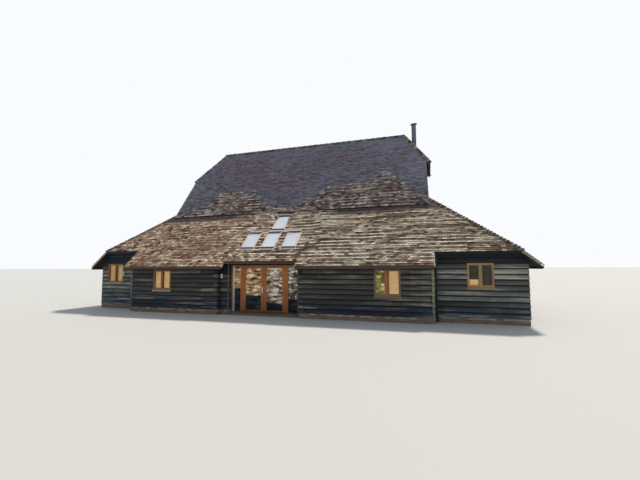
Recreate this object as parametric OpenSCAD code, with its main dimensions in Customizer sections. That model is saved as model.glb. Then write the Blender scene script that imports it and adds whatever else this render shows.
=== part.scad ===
// Aisled barn made into a house: a tall hipped centre under steep tiles, with low tiled
// aisles along both sides and round both ends. Black boarded walls on a low brick plinth.
// X runs along the ridge, -Y is the front with the glazed doors, Z is up from the ground.

/* [Upper roof] */
// Length of the upper roof over its two verges
nave_len = 13000; // [12400:50:13800]
// Half width of the upper roof, from the ridge line to its eave
nave_half_w = 3080; // [2900:20:3200]
// Height of the ridge line
ridge_z = 8900; // [8400:20:9400]
// Height of the upper roof's eaves
nave_eave_z = 4660; // [4600:10:4900]
// Height of the eaves of the two half hips
half_hip_eave_z = 7000; // [6700:20:7400]
// Level run of each half hip, from its eave to the end of the ridge
half_hip_run = 1240; // [1100:20:1600]
// How far the eave of a half hip stands out past the verge
half_hip_overhang = 70; // [50:10:200]
// How far the old right verge leans in at its top, over its place at the eave
right_verge_lean = 90; // [0:10:110]
// How far the verge stands out past the gable wall
gable_overhang = 120; // [60:10:200]
// How far the upper eaves stand out past the arcade plates
nave_overhang = 180; // [140:10:260]

/* [Lower roofs] */
// Drop from the edge of the upper eave to the lower roof under it
aisle_drop = 180; // [160:10:240]
// Distance of the main aisle eaves from the ridge line
aisle_eave_y = 5700; // [5600:20:5900]
// Height of the main aisle eaves
aisle_eave_z = 2050; // [1950:10:2100]
// Distance of the eaves of the left wing from the ridge line
left_wing_eave_y = 4880; // [4700:20:5000]
// Distance of the eaves of the right wing from the ridge line
right_wing_eave_y = 5160; // [4900:20:5300]
// Reach of the main aisle roof to the left of the middle
aisle_left_x = 7070; // [6900:10:7300]
// Reach of the main aisle roof to the right of the middle
aisle_right_x = 6620; // [6600:10:6900]
// Distance of the raised eave over the doors from the ridge line
door_eave_y = 5470; // [5420:10:5540]
// Height at which the end roofs pass under the verges
end_top_z = 4960; // [4880:20:5100]
// Distance of the end roofs' low eaves from the middle
end_eave_x = 10070; // [9900:10:10300]
// Height of the end roofs' low eaves
end_eave_z = 2050; // [1990:10:2160]
// Thickness of every roof, square to its slope
roof_t = 70; // [60:5:90]

/* [Walls] */
// Thickness of the boarded walls
wall_t = 180; // [150:10:220]
// How far the main aisle eaves stand out past the walls
front_overhang = 350; // [300:10:400]
// How far the wing eaves stand out past the walls
wing_overhang = 330; // [260:10:380]
// How far the low end eaves stand out past the walls
end_overhang = 390; // [300:10:450]
// How far the left verge of the main aisle roof stands out past the corner
left_verge = 90; // [40:10:150]
// How far the right verge of the main aisle roof stands out past the corner
right_verge = 20; // [10:5:60]
// Height of the brick plinth
plinth_h = 210; // [150:10:300]
// Width of the brick plinth
plinth_w = 215; // [190:5:300]
// Thickness of the floor slab
floor_t = 100; // [80:5:140]

/* [Timber frame] */
// Side of the square arcade posts
post_w = 240; // [200:10:300]
// How far an arcade plate reaches down past the lower roof that meets it
plate_lip = 180; // [100:10:300]
// Distance of the inner frames from the middle
frame_x = 2100; // [1900:20:3000]
// Height of the tie beams
tie_h = 250; // [200:10:300]
// Width of the tie beams
tie_w = 200; // [160:10:240]

/* [Doors] */
// Sideways place of the middle of the door screen
screen_x = -210; // [-300:10:-100]
// Width of the whole door screen
screen_w = 3140; // [2900:20:3300]
// Height of the screen's top over the ground
screen_top_z = 2115; // [2060:5:2140]
// How far the screen stands back from the front walls
recess = 230; // [200:10:300]
// Width of the boarded strip between the recess's left side and the screen
left_strip_w = 520; // [400:10:700]
// Width of the boarded strip between the recess's right side and the screen
right_strip_w = 90; // [60:10:300]
// Width of the posts at the corners of the recess
recess_post_w = 180; // [140:10:220]
// How far the raised eave reaches past the screen's left end
door_eave_left_past = 140; // [40:10:200]
// How far the raised eave reaches past the screen's right end
door_eave_right_past = 30; // [0:10:80]
// Depth of the screen's frame
frame_d = 90; // [80:5:120]
// Width of the screen's outer posts
jamb_w = 60; // [50:5:80]
// Width of the two posts that the doors hang on
mullion_w = 122; // [100:2:140]
// Height of the screen's head
head_h = 52; // [45:1:70]
// Height of the screen's sill
sill_h = 32; // [25:1:50]
// Width of the opening that the pair of doors fills
pair_w = 1950; // [1800:10:2000]
// Gap round each door
door_gap = 7; // [6:1:9]
// Gap between the two doors
meeting_gap = 10; // [9:1:14]
// Thickness of the doors
leaf_t = 50; // [44:1:60]
// Radius of the hinges' knuckles
knuckle_r = 8; // [6:0.5:10]
// Height of each hinge
hinge_h = 90; // [70:5:110]
// Width of the doors' upright rails
stile_w = 112; // [90:2:130]
// Height of the doors' top rail
top_rail_h = 62; // [50:2:90]
// Height of the doors' bottom rail
bottom_rail_h = 80; // [70:5:160]
// Thickness of every pane
glass_t = 24; // [16:1:28]
// Height of the door handle over the floor
handle_z = 980; // [900:10:1100]

/* [Windows] */
// Width of the two windows in the front walls
window_w = 965; // [800:5:1100]
// Height of the two windows in the front walls
window_h = 885; // [800:5:920]
// Height of these windows' lower edge
window_z = 1030; // [980:5:1060]
// How much lower the right front window's lower edge is
right_window_drop = 80; // [0:5:120]
// How much higher the right front window's upper edge is
right_window_lift = 20; // [0:5:40]
// Sideways place of the left front window
left_window_x = -5215; // [-5600:5:-4000]
// Sideways place of the right front window
right_window_x = 4940; // [3800:5:5400]
// Width of the left wing's window
left_wing_window_w = 985; // [800:5:1100]
// Height of the left wing's window
left_wing_window_h = 925; // [800:5:960]
// Height of the left wing window's lower edge
left_wing_window_z = 1290; // [1250:5:1330]
// Sideways place of the left wing's window
left_wing_window_x = -8805; // [-8900:5:-8000]
// Width of the right wing's window
right_wing_window_w = 880; // [800:5:1000]
// Height of the right wing's window
right_wing_window_h = 860; // [760:5:900]
// Height of the right wing window's lower edge
right_wing_window_z = 1285; // [1250:5:1360]
// Sideways place of the right wing's window
right_wing_window_x = 8165; // [7900:5:8500]
// Sideways place of the window in the middle of the back wall
back_window_x = -210; // [-1000:10:1000]
// Depth of the window frames
window_d = 85; // [70:5:110]
// How far the window frames stand out from the walls
window_proud = 20; // [10:1:35]
// Width of the fixed frame round a window
window_frame_w = 38; // [30:1:60]
// Width of the fixed post in the middle of a window
window_post_w = 52; // [40:1:80]
// Width of the casements' own rails
casement_w = 36; // [30:1:60]
// How far the casements stand back in their frame
casement_set = 12; // [6:1:20]
// Height of the window sills
window_sill_h = 90; // [70:5:140]
// How far the window sills stand out from the walls
window_sill_proud = 60; // [45:5:90]
// How far the window sills reach past the windows on each side
window_sill_side = 20; // [0:5:60]

/* [Rooflights] */
// Width of a rooflight
rooflight_w = 600; // [550:10:780]
// Length of a rooflight down the slope
rooflight_l = 1080; // [980:10:1180]
// Distance between the middles of the three lower rooflights
rooflight_pitch = 970; // [900:10:1100]
// Sideways place of the middle one of the three lower rooflights
rooflight_x = -170; // [-300:5:-100]
// Level distance from the upper eave to the upper rooflight
rooflight_eave_gap = 60; // [50:10:120]
// Level distance from the upper rooflight to the row of lower ones
rooflight_row_gap = 150; // [120:10:260]
// Sideways place of the upper rooflight
rooflight_high_x = -110; // [-200:5:0]
// How far the rooflights stand up from the roof
rooflight_proud = 70; // [50:5:100]
// Width of the rooflights' frames
rooflight_frame_w = 50; // [35:5:70]

/* [Flue and fittings] */
// Radius of the flue
flue_r = 115; // [75:1:125]
// Thickness of the flue's wall
flue_wall = 6; // [3:1:15]
// Level distance of the flue from the end of the ridge
flue_past_ridge = 500; // [400:10:700]
// Height of the top of the flue pipe
flue_top_z = 9420; // [9200:10:9600]
// How far the flue's foot reaches down under the roof's face
flue_foot = 450; // [300:10:600]
// Height of the flue's collar on the tiles
flue_collar_h = 110; // [60:10:160]
// Height of the open gap under the flue's cap
flue_cap_gap = 40; // [35:5:90]
// Tilt of the flue's cap, in degrees
flue_cap_tilt = 4; // [0:0.5:6]
// Width of the boards at the corners of the front and back walls
corner_board_w = 95; // [80:5:130]
// Thickness of the corner boards
corner_board_t = 40; // [25:1:45]
// Thickness of the boards under the eaves
eaves_board_t = 25; // [20:1:40]
// Height of the boards under the eaves
eaves_board_h = 25; // [15:5:100]
// How far the eaves boards stand back under the tiles
eaves_board_set = 25; // [10:5:50]
// Radius of the ridge tiles
ridge_tile_r = 120; // [110:5:160]
// How far the ridge tiles stand up over the ridge line
ridge_tile_rise = 70; // [60:5:100]
// Radius of the hip tiles
hip_tile_r = 120; // [100:5:150]
// How far the hip tiles stand out over the hip lines, square to them
hip_tile_rise = 60; // [50:5:90]
// Height of the wall lanterns' middle
lantern_z = 1660; // [1600:10:1750]
// Radius of the downpipe at the right wing
downpipe_r = 34; // [25:1:50]
// Radius of the thin downpipe beside the doors
door_pipe_r = 25; // [20:1:32]
// Sideways distance of this pipe from the screen
door_pipe_gap = 80; // [60:10:200]
// Gap between the pipes and the walls
pipe_gap = 45; // [40:1:60]

/* [Hidden] */

// Fall of each roof, as height lost per unit of level run
nave_fall = (ridge_z - nave_eave_z) / nave_half_w;
half_hip_fall = (ridge_z - half_hip_eave_z) / half_hip_run;
aisle_fall = (nave_eave_z - aisle_drop - aisle_eave_z) / (aisle_eave_y - nave_half_w);
verge_x = nave_len / 2;
end_fall = (end_top_z - end_eave_z) / (end_eave_x - verge_x);

// Plumb thickness of a roof of the given fall
function plumb(fall) = roof_t * sqrt(1 + fall * fall);

// Height of each roof's upper face
function nave_top(y) = ridge_z - nave_fall * abs(y);
function half_hip_top(x) = ridge_z - half_hip_fall * (abs(x) - ridge_half);
function aisle_top(y) = nave_eave_z - aisle_drop - aisle_fall * (abs(y) - nave_half_w);
function end_top(x) = end_top_z - end_fall * (abs(x) - verge_x);
function aisle_under(y) = aisle_top(y) - plumb(aisle_fall);
function end_under(x) = end_top(x) - plumb(end_fall);

// Ends of the ridge, and the corners where the hips start and stop
half_hip_x = verge_x + half_hip_overhang;
ridge_half = half_hip_x - half_hip_run;
half_hip_y = (ridge_z - half_hip_eave_z) / nave_fall;
gable_x = verge_x - gable_overhang;
arcade_y = nave_half_w - nave_overhang;
hip_top_y = nave_half_w + (nave_eave_z - aisle_drop - end_top(gable_x)) / aisle_fall;
function hip_x(wing_y) = verge_x + (end_top_z - aisle_top(wing_y)) / end_fall;

// Outer faces of the walls, and the left and right ends of the main front
front_y = aisle_eave_y - front_overhang;
left_wing_y = left_wing_eave_y - wing_overhang;
right_wing_y = right_wing_eave_y - wing_overhang;
end_x = end_eave_x - end_overhang;
front_left_x = aisle_left_x - left_verge;
front_right_x = aisle_right_x - right_verge;
recess_left_x = screen_w / 2 - screen_x + left_strip_w;
recess_right_x = screen_w / 2 + screen_x + right_strip_w;
left_cheek_x = recess_left_x + recess_post_w;
right_cheek_x = recess_right_x + recess_post_w;

// The door screen
screen_y = front_y - recess;
screen_left_x = screen_x - screen_w / 2;
screen_right_x = screen_x + screen_w / 2;
door_eave_left_x = -screen_left_x + door_eave_left_past;
door_eave_right_x = screen_right_x + door_eave_right_past;
cheek_back_y = screen_y - wall_t;
leaf_w = (pair_w - meeting_gap) / 2 - door_gap;
leaf_bottom_z = floor_t + sill_h + door_gap;
leaf_top_z = screen_top_z - head_h - door_gap;
threshold_out = 60;

// The timber frame
plate_z = aisle_under(arcade_y) - plate_lip;
plate_in_y = arcade_y - post_w;
gable_in_x = gable_x - wall_t;

// Well past every roof, for cutting bodies
far = 12000;
// Gap left where pieces are seated on each other
seat = 0.3;

// Extrude an outline drawn in Y and Z from one X to another
module along_x(x0, x1) {
    translate([x0, 0, 0]) rotate([90, 0, 90]) linear_extrude(x1 - x0) children();
}

// Extrude an outline drawn in X and Z from one Y to another
module along_y(y0, y1) {
    translate([0, y1, 0]) rotate([90, 0, 0]) linear_extrude(y1 - y0) children();
}

// Box between two corners
module block(a, b) {
    translate(a) cube(b - a);
}

// Everything under the upper faces of the two aisle roofs, or less if lowered
module under_aisles(lower) {
    along_x(-far, far) polygon([
        [-far, -far], [far, -far],
        [far, aisle_top(far) - lower], [0, aisle_top(0) - lower], [-far, aisle_top(far) - lower]]);
}

// Everything under the upper faces of the two end roofs, or less if lowered
module under_ends(lower) {
    along_y(-far, far) polygon([
        [-far, -far], [far, -far],
        [far, end_top(far) - lower], [0, end_top(0) - lower], [-far, end_top(far) - lower]]);
}

// Everything under the upper faces of the upper roof, or less if lowered
module under_nave(lower) {
    along_x(-far, far) polygon([
        [-far, 0], [far, 0],
        [far, nave_top(far) - lower], [0, ridge_z - lower], [-far, nave_top(far) - lower]]);
}

// Everything under the upper faces of the two half hips, or less if lowered
module under_half_hips(lower) {
    along_y(-far, far) polygon([
        [-far, 0], [far, 0],
        [far, half_hip_top(far) - lower], [0, half_hip_top(0) - lower],
        [-far, half_hip_top(far) - lower]]);
}

// Keeps what lies under the aisle and end roofs
module below_roofs() {
    intersection() {
        children();
        under_aisles(plumb(aisle_fall) + seat);
        under_ends(plumb(end_fall) + seat);
    }
}

// Copies the children to the other side of the ridge
module front_and_back() {
    children();
    mirror([0, 1, 0]) children();
}

// Copies the children to the other end of the building
module both_ends() {
    children();
    mirror([1, 0, 0]) children();
}

module floor_slab() {
    in = plinth_w;
    color("silver") linear_extrude(floor_t) polygon([
        [-end_x + in, -left_wing_y + in], [-front_left_x + in, -left_wing_y + in],
        [-front_left_x + in, -front_y + in], [-left_cheek_x, -front_y + in],
        [-left_cheek_x, -cheek_back_y], [screen_left_x, -cheek_back_y],
        [screen_left_x, -screen_y - threshold_out], [screen_right_x, -screen_y - threshold_out],
        [screen_right_x, -cheek_back_y], [right_cheek_x, -cheek_back_y],
        [right_cheek_x, -front_y + in], [front_right_x - in, -front_y + in],
        [front_right_x - in, -right_wing_y + in], [end_x - in, -right_wing_y + in],
        [end_x - in, right_wing_y - in], [front_right_x - in, right_wing_y - in],
        [front_right_x - in, front_y - in], [-front_left_x + in, front_y - in],
        [-front_left_x + in, left_wing_y - in], [-end_x + in, left_wing_y - in]]);
}

// Plinth under one half of the front, drawn for a front that reaches to plus X
module plinth_half(corner_x, wing_y, recess_x, cheek_x, screen_end_x) {
    in = plinth_w;
    linear_extrude(plinth_h) polygon([
        [corner_x, -front_y], [recess_x, -front_y], [recess_x, -screen_y],
        [screen_end_x, -screen_y], [screen_end_x, -cheek_back_y], [cheek_x, -cheek_back_y],
        [cheek_x, -front_y + in], [corner_x - in, -front_y + in],
        [corner_x - in, -wing_y + in], [corner_x, -wing_y + in]]);
}

module front_plinth() {
    color("rosybrown") {
        plinth_half(front_right_x, right_wing_y, recess_right_x, right_cheek_x, screen_right_x);
        mirror([1, 0, 0])
            plinth_half(front_left_x, left_wing_y, recess_left_x, left_cheek_x, -screen_left_x);
    }
}

module back_plinth() {
    in = plinth_w;
    color("rosybrown") linear_extrude(plinth_h) polygon([
        [-front_left_x, left_wing_y - in], [-front_left_x + in, left_wing_y - in],
        [-front_left_x + in, front_y - in], [front_right_x - in, front_y - in],
        [front_right_x - in, right_wing_y - in], [front_right_x, right_wing_y - in],
        [front_right_x, front_y], [-front_left_x, front_y]]);
}

// Plinth round one end, drawn for the end at plus X
module end_plinth(corner_x, wing_y) {
    in = plinth_w;
    linear_extrude(plinth_h) polygon([
        [corner_x, -wing_y], [end_x, -wing_y], [end_x, wing_y], [corner_x, wing_y],
        [corner_x, wing_y - in], [end_x - in, wing_y - in],
        [end_x - in, -wing_y + in], [corner_x, -wing_y + in]]);
}

module end_plinths() {
    color("rosybrown") {
        end_plinth(front_right_x, right_wing_y);
        mirror([1, 0, 0]) end_plinth(front_left_x, left_wing_y);
    }
}

// Straight wall that runs along X, with its outer face at -y, standing on the plinth
module long_wall(x0, x1, y) {
    below_roofs() block([x0, -y, plinth_h], [x1, -y + wall_t, nave_eave_z]);
}

// Lower edge and height of the right front window, which is taller than the left one
right_window_z = window_z - right_window_drop;
right_window_h = window_h + right_window_drop + right_window_lift;

// Hole for a window in a wall whose outer face is at -y, with the sill let in under it
module window_hole(x, y, z, w, h) {
    block([x - w / 2, -y - wall_t, z], [x + w / 2, -y + 2 * wall_t, z + h]);
}

module front_wall_left() {
    color("#26282c") difference() {
        long_wall(-front_left_x, -left_cheek_x, front_y);
        window_hole(left_window_x, front_y, window_z, window_w, window_h);
    }
}

module front_wall_right() {
    color("#26282c") difference() {
        long_wall(right_cheek_x, front_right_x, front_y);
        window_hole(right_window_x, front_y, right_window_z, window_w, right_window_h);
    }
}

// Long wall of the left wing, with its window
module left_wing_long_wall() {
    difference() {
        long_wall(-end_x, -front_left_x, left_wing_y);
        window_hole(left_wing_window_x, left_wing_y, left_wing_window_z,
            left_wing_window_w, left_wing_window_h);
    }
}

// Long wall of the right wing, with its window
module right_wing_long_wall() {
    difference() {
        long_wall(front_right_x, end_x, right_wing_y);
        window_hole(right_wing_window_x, right_wing_y, right_wing_window_z,
            right_wing_window_w, right_wing_window_h);
    }
}

module wing_front_walls() {
    color("#26282c") {
        left_wing_long_wall();
        right_wing_long_wall();
    }
}

// Short walls between the main front or back and the wings
module return_walls() {
    color("#2b2d30") front_and_back() below_roofs() {
        union() {
            block([-front_left_x, -front_y + wall_t, plinth_h],
                [-front_left_x + wall_t, -left_wing_y + wall_t, nave_eave_z]);
            block([front_right_x - wall_t, -front_y + wall_t, plinth_h],
                [front_right_x, -right_wing_y + wall_t, nave_eave_z]);
        }
    }
}

// Low walls at the two ends
module end_walls() {
    color("#26282c") below_roofs() {
        union() {
            block([-end_x, -left_wing_y + wall_t, plinth_h],
                [-end_x + wall_t, left_wing_y - wall_t, nave_eave_z]);
            block([end_x - wall_t, -right_wing_y + wall_t, plinth_h],
                [end_x, right_wing_y - wall_t, nave_eave_z]);
        }
    }
}

// The back repeats the front's windows, and has one more where the doors are in front
module back_walls() {
    color("#26282c") mirror([0, 1, 0]) {
        difference() {
            long_wall(-front_left_x, front_right_x, front_y);
            for (x = [left_window_x, back_window_x])
                window_hole(x, front_y, window_z, window_w, window_h);
            window_hole(right_window_x, front_y, right_window_z, window_w, right_window_h);
        }
        left_wing_long_wall();
        right_wing_long_wall();
    }
}

// Upright walls over the end roofs, cut to the slopes and the half hips
module gable_walls() {
    color("#303236") both_ends() intersection() {
        block([gable_in_x, -arcade_y, plate_z], [gable_x, arcade_y, ridge_z]);
        under_nave(plumb(nave_fall) + seat);
        under_half_hips(plumb(half_hip_fall) + seat);
    }
}

// Corner posts of the recess, and the boarded strips from them to the screen
module door_cheeks() {
    color("#26282c") below_roofs() {
        union() {
            block([-left_cheek_x, -front_y, plinth_h], [-recess_left_x, -cheek_back_y, nave_eave_z]);
            block([-recess_left_x, -screen_y, plinth_h], [screen_left_x, -cheek_back_y, nave_eave_z]);
            block([recess_right_x, -front_y, plinth_h], [right_cheek_x, -cheek_back_y, nave_eave_z]);
            block([screen_right_x, -screen_y, plinth_h], [recess_right_x, -cheek_back_y, nave_eave_z]);
        }
    }
}

// Beam and boarding over the screen
module door_lintel() {
    color("#26282c") long_beam();
}

module long_beam() {
    below_roofs()
        block([screen_left_x, -screen_y, screen_top_z], [screen_right_x, -cheek_back_y, nave_eave_z]);
}

// Places along X of the four frames, each given by the middle of its posts
frame_places = [-gable_x + post_w / 2, -frame_x, frame_x, gable_x - post_w / 2];

module arcade_posts() {
    color("saddlebrown") front_and_back() for (x = frame_places)
        block([x - post_w / 2, -arcade_y, floor_t], [x + post_w / 2, -plate_in_y, plate_z]);
}

// Beams along the post heads that carry the upper roof, and that the aisle roofs lean on
module arcade_plates() {
    color("#2b2622") front_and_back() intersection() {
        block([-gable_in_x, -arcade_y, plate_z], [gable_in_x, -plate_in_y, ridge_z]);
        under_nave(plumb(nave_fall) + seat);
    }
}

module tie_beams() {
    color("saddlebrown") for (x = [-frame_x, frame_x])
        block([x - tie_w / 2, -plate_in_y, plate_z], [x + tie_w / 2, plate_in_y, plate_z + tie_h]);
}

// Sloping sheet that falls towards -Y from y_in to y_out
module long_slope(x0, x1, y_in, y_out, z_in, z_out, fall) {
    along_x(x0, x1) polygon([
        [-y_out, z_out], [-y_in, z_in], [-y_in, z_in - plumb(fall)], [-y_out, z_out - plumb(fall)]]);
}

// Sloping sheet that falls towards +X from x_in to x_out
module end_slope(y0, y1, x_in, x_out, z_in, z_out, fall) {
    along_y(y0, y1) polygon([
        [x_in, z_in], [x_out, z_out], [x_out, z_out - plumb(fall)], [x_in, z_in - plumb(fall)]]);
}

module nave_slope() {
    intersection() {
        long_slope(-half_hip_x, half_hip_x, 0, nave_half_w, ridge_z, nave_eave_z, nave_fall);
        linear_extrude(far) polygon([
            [-ridge_half, 0], [-verge_x, -hip_y(verge_x)], [-verge_x, -nave_half_w],
            [verge_x, -nave_half_w], [right_verge_top_x, -hip_y(right_verge_top_x)], [ridge_half, 0]]);
    }
}

// Distance from the ridge line of a half hip's edges at a distance from the middle
function hip_y(x) = half_hip_y * (x - ridge_half) / half_hip_run;
right_verge_top_x = verge_x - right_verge_lean;

module nave_roof_front() {
    color("#6f5c50") nave_slope();
}

module nave_roof_back() {
    color("#6f5c50") mirror([0, 1, 0]) nave_slope();
}

module half_hip() {
    intersection() {
        end_slope(-half_hip_y, half_hip_y, ridge_half, half_hip_x,
            ridge_z, half_hip_eave_z, half_hip_fall);
        translate([seat, 0, 0]) linear_extrude(far) polygon([
            [ridge_half, 0], [half_hip_x, -half_hip_y], [half_hip_x, half_hip_y]]);
    }
}

module half_hip_left() {
    color("#6a584d") mirror([1, 0, 0]) half_hip();
}

// The right half hip has the hole for the flue
module half_hip_right() {
    color("#6a584d") difference() {
        half_hip();
        translate([flue_x, 0, 0]) cylinder(h = far, r = flue_r + seat, $fn = 48);
    }
}

// Outline on the ground of one aisle roof, with or without the raised eave over the doors
module aisle_plan(door_cut) {
    cut = door_cut ? [
        [-door_eave_left_x, -aisle_eave_y], [-door_eave_left_x, -door_eave_y],
        [door_eave_right_x, -door_eave_y], [door_eave_right_x, -aisle_eave_y]] : [];
    polygon(concat(
        [[-aisle_left_x, -aisle_eave_y]], cut,
        [[aisle_right_x, -aisle_eave_y], [aisle_right_x, -right_wing_eave_y],
        [hip_x(right_wing_eave_y), -right_wing_eave_y],
        [gable_x, -hip_top_y], [gable_x, -arcade_y],
        [-gable_x, -arcade_y], [-gable_x, -hip_top_y],
        [-hip_x(left_wing_eave_y), -left_wing_eave_y], [-aisle_left_x, -left_wing_eave_y]]));
}

module aisle_slope(door_cut) {
    intersection() {
        long_slope(-end_eave_x, end_eave_x, hip_top_y, aisle_eave_y,
            aisle_top(hip_top_y), aisle_eave_z, aisle_fall);
        linear_extrude(far) aisle_plan(door_cut);
    }
}

// Level half length of a rooflight, and the distances of the two rows from the ridge line
rooflight_half = rooflight_l / 2 * cos(atan(aisle_fall));
rooflight_high_y = nave_half_w + rooflight_eave_gap + rooflight_half;
rooflight_low_y = rooflight_high_y + 2 * rooflight_half + rooflight_row_gap;

// Places of the four rooflights, as X and distance from the ridge line
rooflights = [
    [rooflight_x - rooflight_pitch, rooflight_low_y], [rooflight_x, rooflight_low_y],
    [rooflight_x + rooflight_pitch, rooflight_low_y], [rooflight_high_x, rooflight_high_y]];

// Puts the children on the front aisle roof, with X across and Y up the slope
module on_aisle_roof(place) {
    translate([place[0], -place[1], aisle_top(place[1])]) rotate([atan(aisle_fall), 0, 0]) children();
}

module aisle_roof_front() {
    color("#7b6552") difference() {
        aisle_slope(true);
        for (p = rooflights) on_aisle_roof(p)
            cube([rooflight_w, rooflight_l, 3 * roof_t], center = true);
    }
}

module aisle_roof_back() {
    color("#7b6552") mirror([0, 1, 0]) aisle_slope(false);
}

// Roof over one end, drawn for the end at plus X
module end_roof(wing_y) {
    intersection() {
        end_slope(-wing_y, wing_y, gable_x, end_eave_x, end_top(gable_x), end_eave_z, end_fall);
        linear_extrude(far) polygon([
            [gable_x, -hip_top_y], [hip_x(wing_y), -wing_y], [end_eave_x, -wing_y],
            [end_eave_x, wing_y], [hip_x(wing_y), wing_y], [gable_x, hip_top_y]]);
    }
}

module end_roof_left() {
    color("#75604e") mirror([1, 0, 0]) end_roof(left_wing_eave_y);
}

module end_roof_right() {
    color("#75604e") end_roof(right_wing_eave_y);
}

// Round tiles on the ridge, bedded down onto both slopes
module ridge_tiles() {
    color("#62544c") along_x(-ridge_half, ridge_half) difference() {
        translate([0, ridge_z + ridge_tile_rise - ridge_tile_r]) circle(r = ridge_tile_r, $fn = 48);
        polygon([[-far, nave_top(far) + seat], [0, ridge_z + seat], [far, nave_top(far) + seat]]);
    }
}

// Round bar along a hip from a to b, sunk under the hip line, cut off upright past both ends
module hip_bar(a, b) {
    run = b - a;
    level = norm([run[0], run[1]]);
    turn = atan2(run[1], run[0]);
    drop = atan2(-run[2], level);
    intersection() {
        translate(a) rotate([0, 90 + drop, turn])
            translate([hip_tile_r - hip_tile_rise, 0, -hip_tile_r])
            cylinder(h = norm(run) + 2 * hip_tile_r, r = hip_tile_r, $fn = 48);
        translate([a[0], a[1], 0]) rotate([0, 0, turn])
            translate([0, -hip_tile_r, 0]) cube([level, 2 * hip_tile_r, far]);
    }
}

// Tiles on the two hips of one half hip
module half_hip_bars() {
    front_and_back() difference() {
        hip_bar([ridge_half, 0, ridge_z], [half_hip_x, -half_hip_y, half_hip_eave_z]);
        intersection() {
            under_nave(-seat);
            under_half_hips(-seat);
        }
    }
}

// Tiles on the two long hips of one end, that fall from the gable to the wing's eaves
module end_hip_bars(wing_y) {
    top = [gable_x, -hip_top_y, end_top(gable_x)];
    foot = [hip_x(wing_y), -wing_y, aisle_top(wing_y)];
    front_and_back() difference() {
        hip_bar(top, foot);
        intersection() {
            under_aisles(-seat);
            under_ends(-seat);
        }
        block([0, -far, 0], [gable_x, far, far]);
    }
}

module hip_tiles() {
    color("#62544c") {
        difference() {
            both_ends() half_hip_bars();
            along_x(-ridge_half, ridge_half)
                translate([-far, 0]) square([2 * far, 2 * far]);
        }
        end_hip_bars(right_wing_eave_y);
        mirror([1, 0, 0]) end_hip_bars(left_wing_eave_y);
    }
}

// Board under an eave that runs along X, drawn for the front
module long_eaves_board(x0, x1, y, top_z) {
    z = top_z - plumb(aisle_fall) - seat;
    s = eaves_board_set;
    t = s + eaves_board_t;
    along_x(x0, x1) polygon([
        [-y + s, z + aisle_fall * s], [-y + t, z + aisle_fall * t],
        [-y + t, z - eaves_board_h], [-y + s, z - eaves_board_h]]);
}

// Board under the low eave of an end roof, drawn for the end at plus X
module end_eaves_board(wing_y) {
    x = end_eave_x;
    z = end_eave_z - plumb(end_fall) - seat;
    s = eaves_board_set;
    t = s + eaves_board_t;
    along_y(-wing_y, wing_y) polygon([
        [x - s, z + end_fall * s], [x - t, z + end_fall * t],
        [x - t, z - eaves_board_h], [x - s, z - eaves_board_h]]);
}

module eaves_boards() {
    color("#4a423b") {
        long_eaves_board(-aisle_left_x, -door_eave_left_x, aisle_eave_y, aisle_eave_z);
        long_eaves_board(door_eave_right_x, aisle_right_x, aisle_eave_y, aisle_eave_z);
        mirror([0, 1, 0]) long_eaves_board(-aisle_left_x, aisle_right_x, aisle_eave_y, aisle_eave_z);
        end_eaves_board(right_wing_eave_y);
        mirror([1, 0, 0]) end_eaves_board(left_wing_eave_y);
    }
}

// Boards that cover the corners of the front and back walls
module corner_boards() {
    color("#7d857a") front_and_back() below_roofs() {
        union() {
            block([-front_left_x, -front_y - corner_board_t, plinth_h],
                [-front_left_x + corner_board_w, -front_y, nave_eave_z]);
            block([front_right_x - corner_board_w, -front_y - corner_board_t, plinth_h],
                [front_right_x, -front_y, nave_eave_z]);
        }
    }
}

// Draws the children once for each window, with x, y, z, w and h set
module each_window(at) {
    x = at[0];
    y = at[1];
    z = at[2];
    translate([x, -y, z]) children();
}

// Every window as sideways place, distance from the ridge line, height, width, height
front_windows = [
    [left_window_x, front_y, window_z, window_w, window_h],
    [right_window_x, front_y, right_window_z, window_w, right_window_h],
    [left_wing_window_x, left_wing_y, left_wing_window_z, left_wing_window_w, left_wing_window_h],
    [right_wing_window_x, right_wing_y, right_wing_window_z,
        right_wing_window_w, right_wing_window_h]];
back_windows = concat(front_windows, [[back_window_x, front_y, window_z, window_w, window_h]]);

// Frame with a post and two casements, its outer face at y = 0 and its middle at x = 0
module window_frame(w, h) {
    light_w = (w - 2 * window_frame_w - window_post_w) / 2;
    difference() {
        translate([-w / 2, 0, 0]) cube([w, window_d, h]);
        for (side = [-1, 1]) translate([side * (window_post_w + light_w) / 2, 0, 0]) {
            translate([-light_w / 2, -window_d, window_frame_w])
                cube([light_w, window_d + casement_set, h - 2 * window_frame_w]);
            translate([-light_w / 2 + casement_w, -window_d, window_frame_w + casement_w])
                cube([light_w - 2 * casement_w, 3 * window_d, h - 2 * window_frame_w - 2 * casement_w]);
        }
    }
}

// The two panes of a window, in the same place as its frame
module window_panes(w, h) {
    light_w = (w - 2 * window_frame_w - window_post_w) / 2;
    for (side = [-1, 1])
        translate([side * (window_post_w + light_w) / 2 - light_w / 2 + casement_w,
            (window_d + casement_set - glass_t) / 2, window_frame_w + casement_w])
            cube([light_w - 2 * casement_w, glass_t, h - 2 * window_frame_w - 2 * casement_w]);
}

// Sill of a window, with its upper face falling outwards
module window_sill(w) {
    half = w / 2 + window_sill_side;
    along_x(-half, half) polygon([
        [0, 0], [-window_proud, 0], [-window_sill_proud, -15],
        [-window_sill_proud, -window_sill_h], [0, -window_sill_h]]);
}

// Draws the children for the windows of the front and of the back
module window_frames() {
    color("#9a602f") {
        for (at = front_windows) each_window(at)
            translate([0, -window_proud, 0]) window_frame(at[3], at[4]);
        mirror([0, 1, 0]) for (at = back_windows) each_window(at)
            translate([0, -window_proud, 0]) window_frame(at[3], at[4]);
    }
}

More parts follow.
